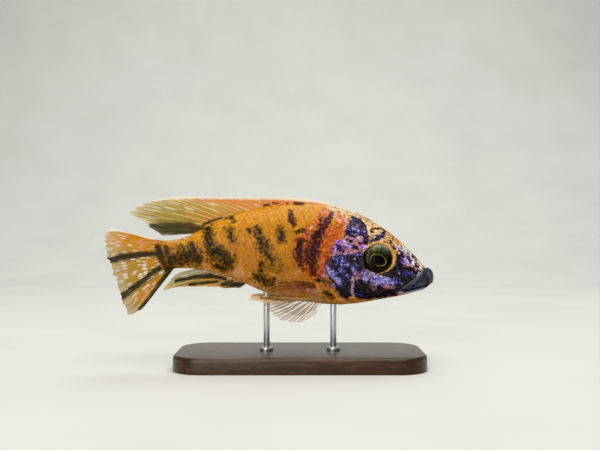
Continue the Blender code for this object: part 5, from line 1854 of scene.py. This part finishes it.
def brushed_steel():
    """Drawn steel, brushed round."""
    material, tree = empty_material("brushed_steel")
    place = add(tree, "TexCoord").outputs["Object"]
    lay = add(tree, "Mapping", {"Scale": (0.05, 0.05, 1.0)}, {"Vector": place})
    scratch = add(tree, "TexNoise", {"Scale": 1 / (0.06 * MM), "Detail": 2.0}, {"Vector": lay})
    rough = add(tree, "MapRange", {"To Min": 0.2, "To Max": 0.42}, {"Value": scratch})
    bump = add(tree, "Bump", {"Strength": 0.1, "Distance": 0.01 * MM}, {"Height": scratch})
    shader = add(
        tree,
        "BsdfPrincipled",
        {"Base Color": linear("#b9bbbd"), "Metallic": 1.0},
        {"Roughness": rough, "Normal": bump},
    )
    add(tree, "OutputMaterial", {}, {"Surface": shader})
    return material


board.data.materials.append(stained_wood())
steel = brushed_steel()
for pair in rods.values():
    for piece in pair:
        piece.data.materials.append(steel)
print("finished stand")

# %% [markdown]
# ## The studio
#
# A sheet of pale paper lies on the floor and curves up into a wall, so that no line shows behind the
# fish. It is a plane whose rear edge is drawn up and whose corner is bevelled to a wide round.

# %% Lay the paper floor
FLOOR = (5000.0, 2900.0, 1000.0)
FLOOR_CENTRE = (0.0, -550.0, 0.0)
WALL_Y = 900.0
WALL_HEIGHT, WALL_ROUND, WALL_STEPS = 1800.0, 500.0, 24


def pale_paper():
    """Matt paper with faint clouds in it, which keep the wide even surface from looking drawn."""
    material, tree = empty_material("pale_paper")
    place = add(tree, "TexCoord").outputs["Object"]
    cloud = add(tree, "TexNoise", {"Scale": 1 / (60 * MM), "Detail": 4.0}, {"Vector": place})
    pale = add(tree, "ValToRGB", {"stops": ((0.3, "#cfd0ca"), (0.7, "#d6d7d1"))}, {"Fac": cloud})
    shader = add(tree, "BsdfPrincipled", {"Roughness": 0.9, "Specular IOR Level": 0.2}, {"Base Color": pale})
    add(tree, "OutputMaterial", {}, {"Surface": shader})
    return material


bpy.ops.mesh.primitive_plane_add(size=1)
floor = place_primitive("studio_floor", FLOOR, FLOOR_CENTRE)
edit_edges(floor, lambda a, b: min(a.y, b.y) > WALL_Y - 10)
bpy.ops.mesh.extrude_region_move(TRANSFORM_OT_translate={"value": (0, 0, WALL_HEIGHT * MM)})
bpy.ops.object.mode_set(mode="OBJECT")
bevel_edges(floor, lambda a, b: min(a.y, b.y) > WALL_Y - 10 and max(a.z, b.z) < 1, WALL_ROUND, WALL_STEPS)
smooth_shade(floor)
floor.data.materials.append(pale_paper())
print("floor faces:", len(floor.data.polygons))

# %% [markdown]
# One large soft light hangs over the fish, as an aquarium's lamp does, one fills from the camera's side
# and one rims it from behind. Each has its place in metres, its size, its power and its colour. The
# camera stands level, a little above the fish's middle, and looks along +Y, as in the photograph.

# %% Lights and camera
LIGHTS = {
    "over": ((0.05, -0.20, 0.66), 0.60, 3.4, "#fff8ee"),
    "fill": ((-0.30, -0.75, 0.16), 0.60, 3.6, "#fff8f0"),
    "rim": ((0.05, 0.50, 0.80), 0.50, 3.0, "#ffffff"),
}
AIM = (0.0, 0.0, 0.045)
scene = bpy.context.scene
ROOM_COLOUR, ROOM_LIGHT = "#dfe3e6", 0.72
CAMERA_DISTANCE = 0.325
CAMERA_HEIGHT = 0.0547


def hang_light(name, place, size, power, code):
    """A square soft light that looks at the fish."""
    data = bpy.data.lights.new(f"light_{name}", "AREA")
    data.size = size
    data.energy = power
    data.color = linear(code)[:3]
    lamp = bpy.data.objects.new(data.name, data)
    lamp.location = place
    away = np.array(place) - np.array(AIM)
    flat = math.hypot(away[0], away[1])
    lamp.rotation_euler = (math.atan2(flat, away[2]), 0, math.atan2(away[0], -away[1]))
    scene.collection.objects.link(lamp)


for name, settings in LIGHTS.items():
    hang_light(name, *settings)
world = bpy.data.worlds.new("soft_room")
scene.world = world
world.use_nodes = True
room = world.node_tree.nodes["Background"].inputs
room["Color"].default_value = linear(ROOM_COLOUR)
room["Strength"].default_value = ROOM_LIGHT
scene.view_settings.view_transform = "Khronos PBR Neutral"

lens = bpy.data.cameras.new("camera")
lens.lens = 50
lens.sensor_width = 36
lens.clip_start = 0.01
camera = bpy.data.objects.new("camera", lens)
camera.location = (0, -CAMERA_DISTANCE, CAMERA_HEIGHT)
camera.rotation_euler = (math.radians(90), 0, 0)
scene.collection.objects.link(camera)
scene.camera = camera
print("lights:", list(LIGHTS))

# %% [markdown]
# Each piece now rides on the model's one body, and the solids that it takes the place of are hidden.

# %% Hand the pieces to the frame
FLESH = ("head", "gill_cover_left", "gill_cover_right", "upper_lip", "lower_jaw", "torso", "tail")
pins = [piece for pair in rods.values() for piece in pair]
for piece in (skin, *coats, *fins.values(), *irises.values(), *corneas.values(), board, *pins):
    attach(piece, "root")
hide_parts(*FLESH)
for name, fin in fins.items():
    kind, *_, side = name.split("_")
    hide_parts(f"{kind}_fin" if side == "web" else f"{kind}_fin_{side}")
for side in SIDES:
    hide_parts(f"eye_{side}")
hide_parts("stand_base")
for name, pair in rods.items():
    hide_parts(f"stand_rod_{name}")
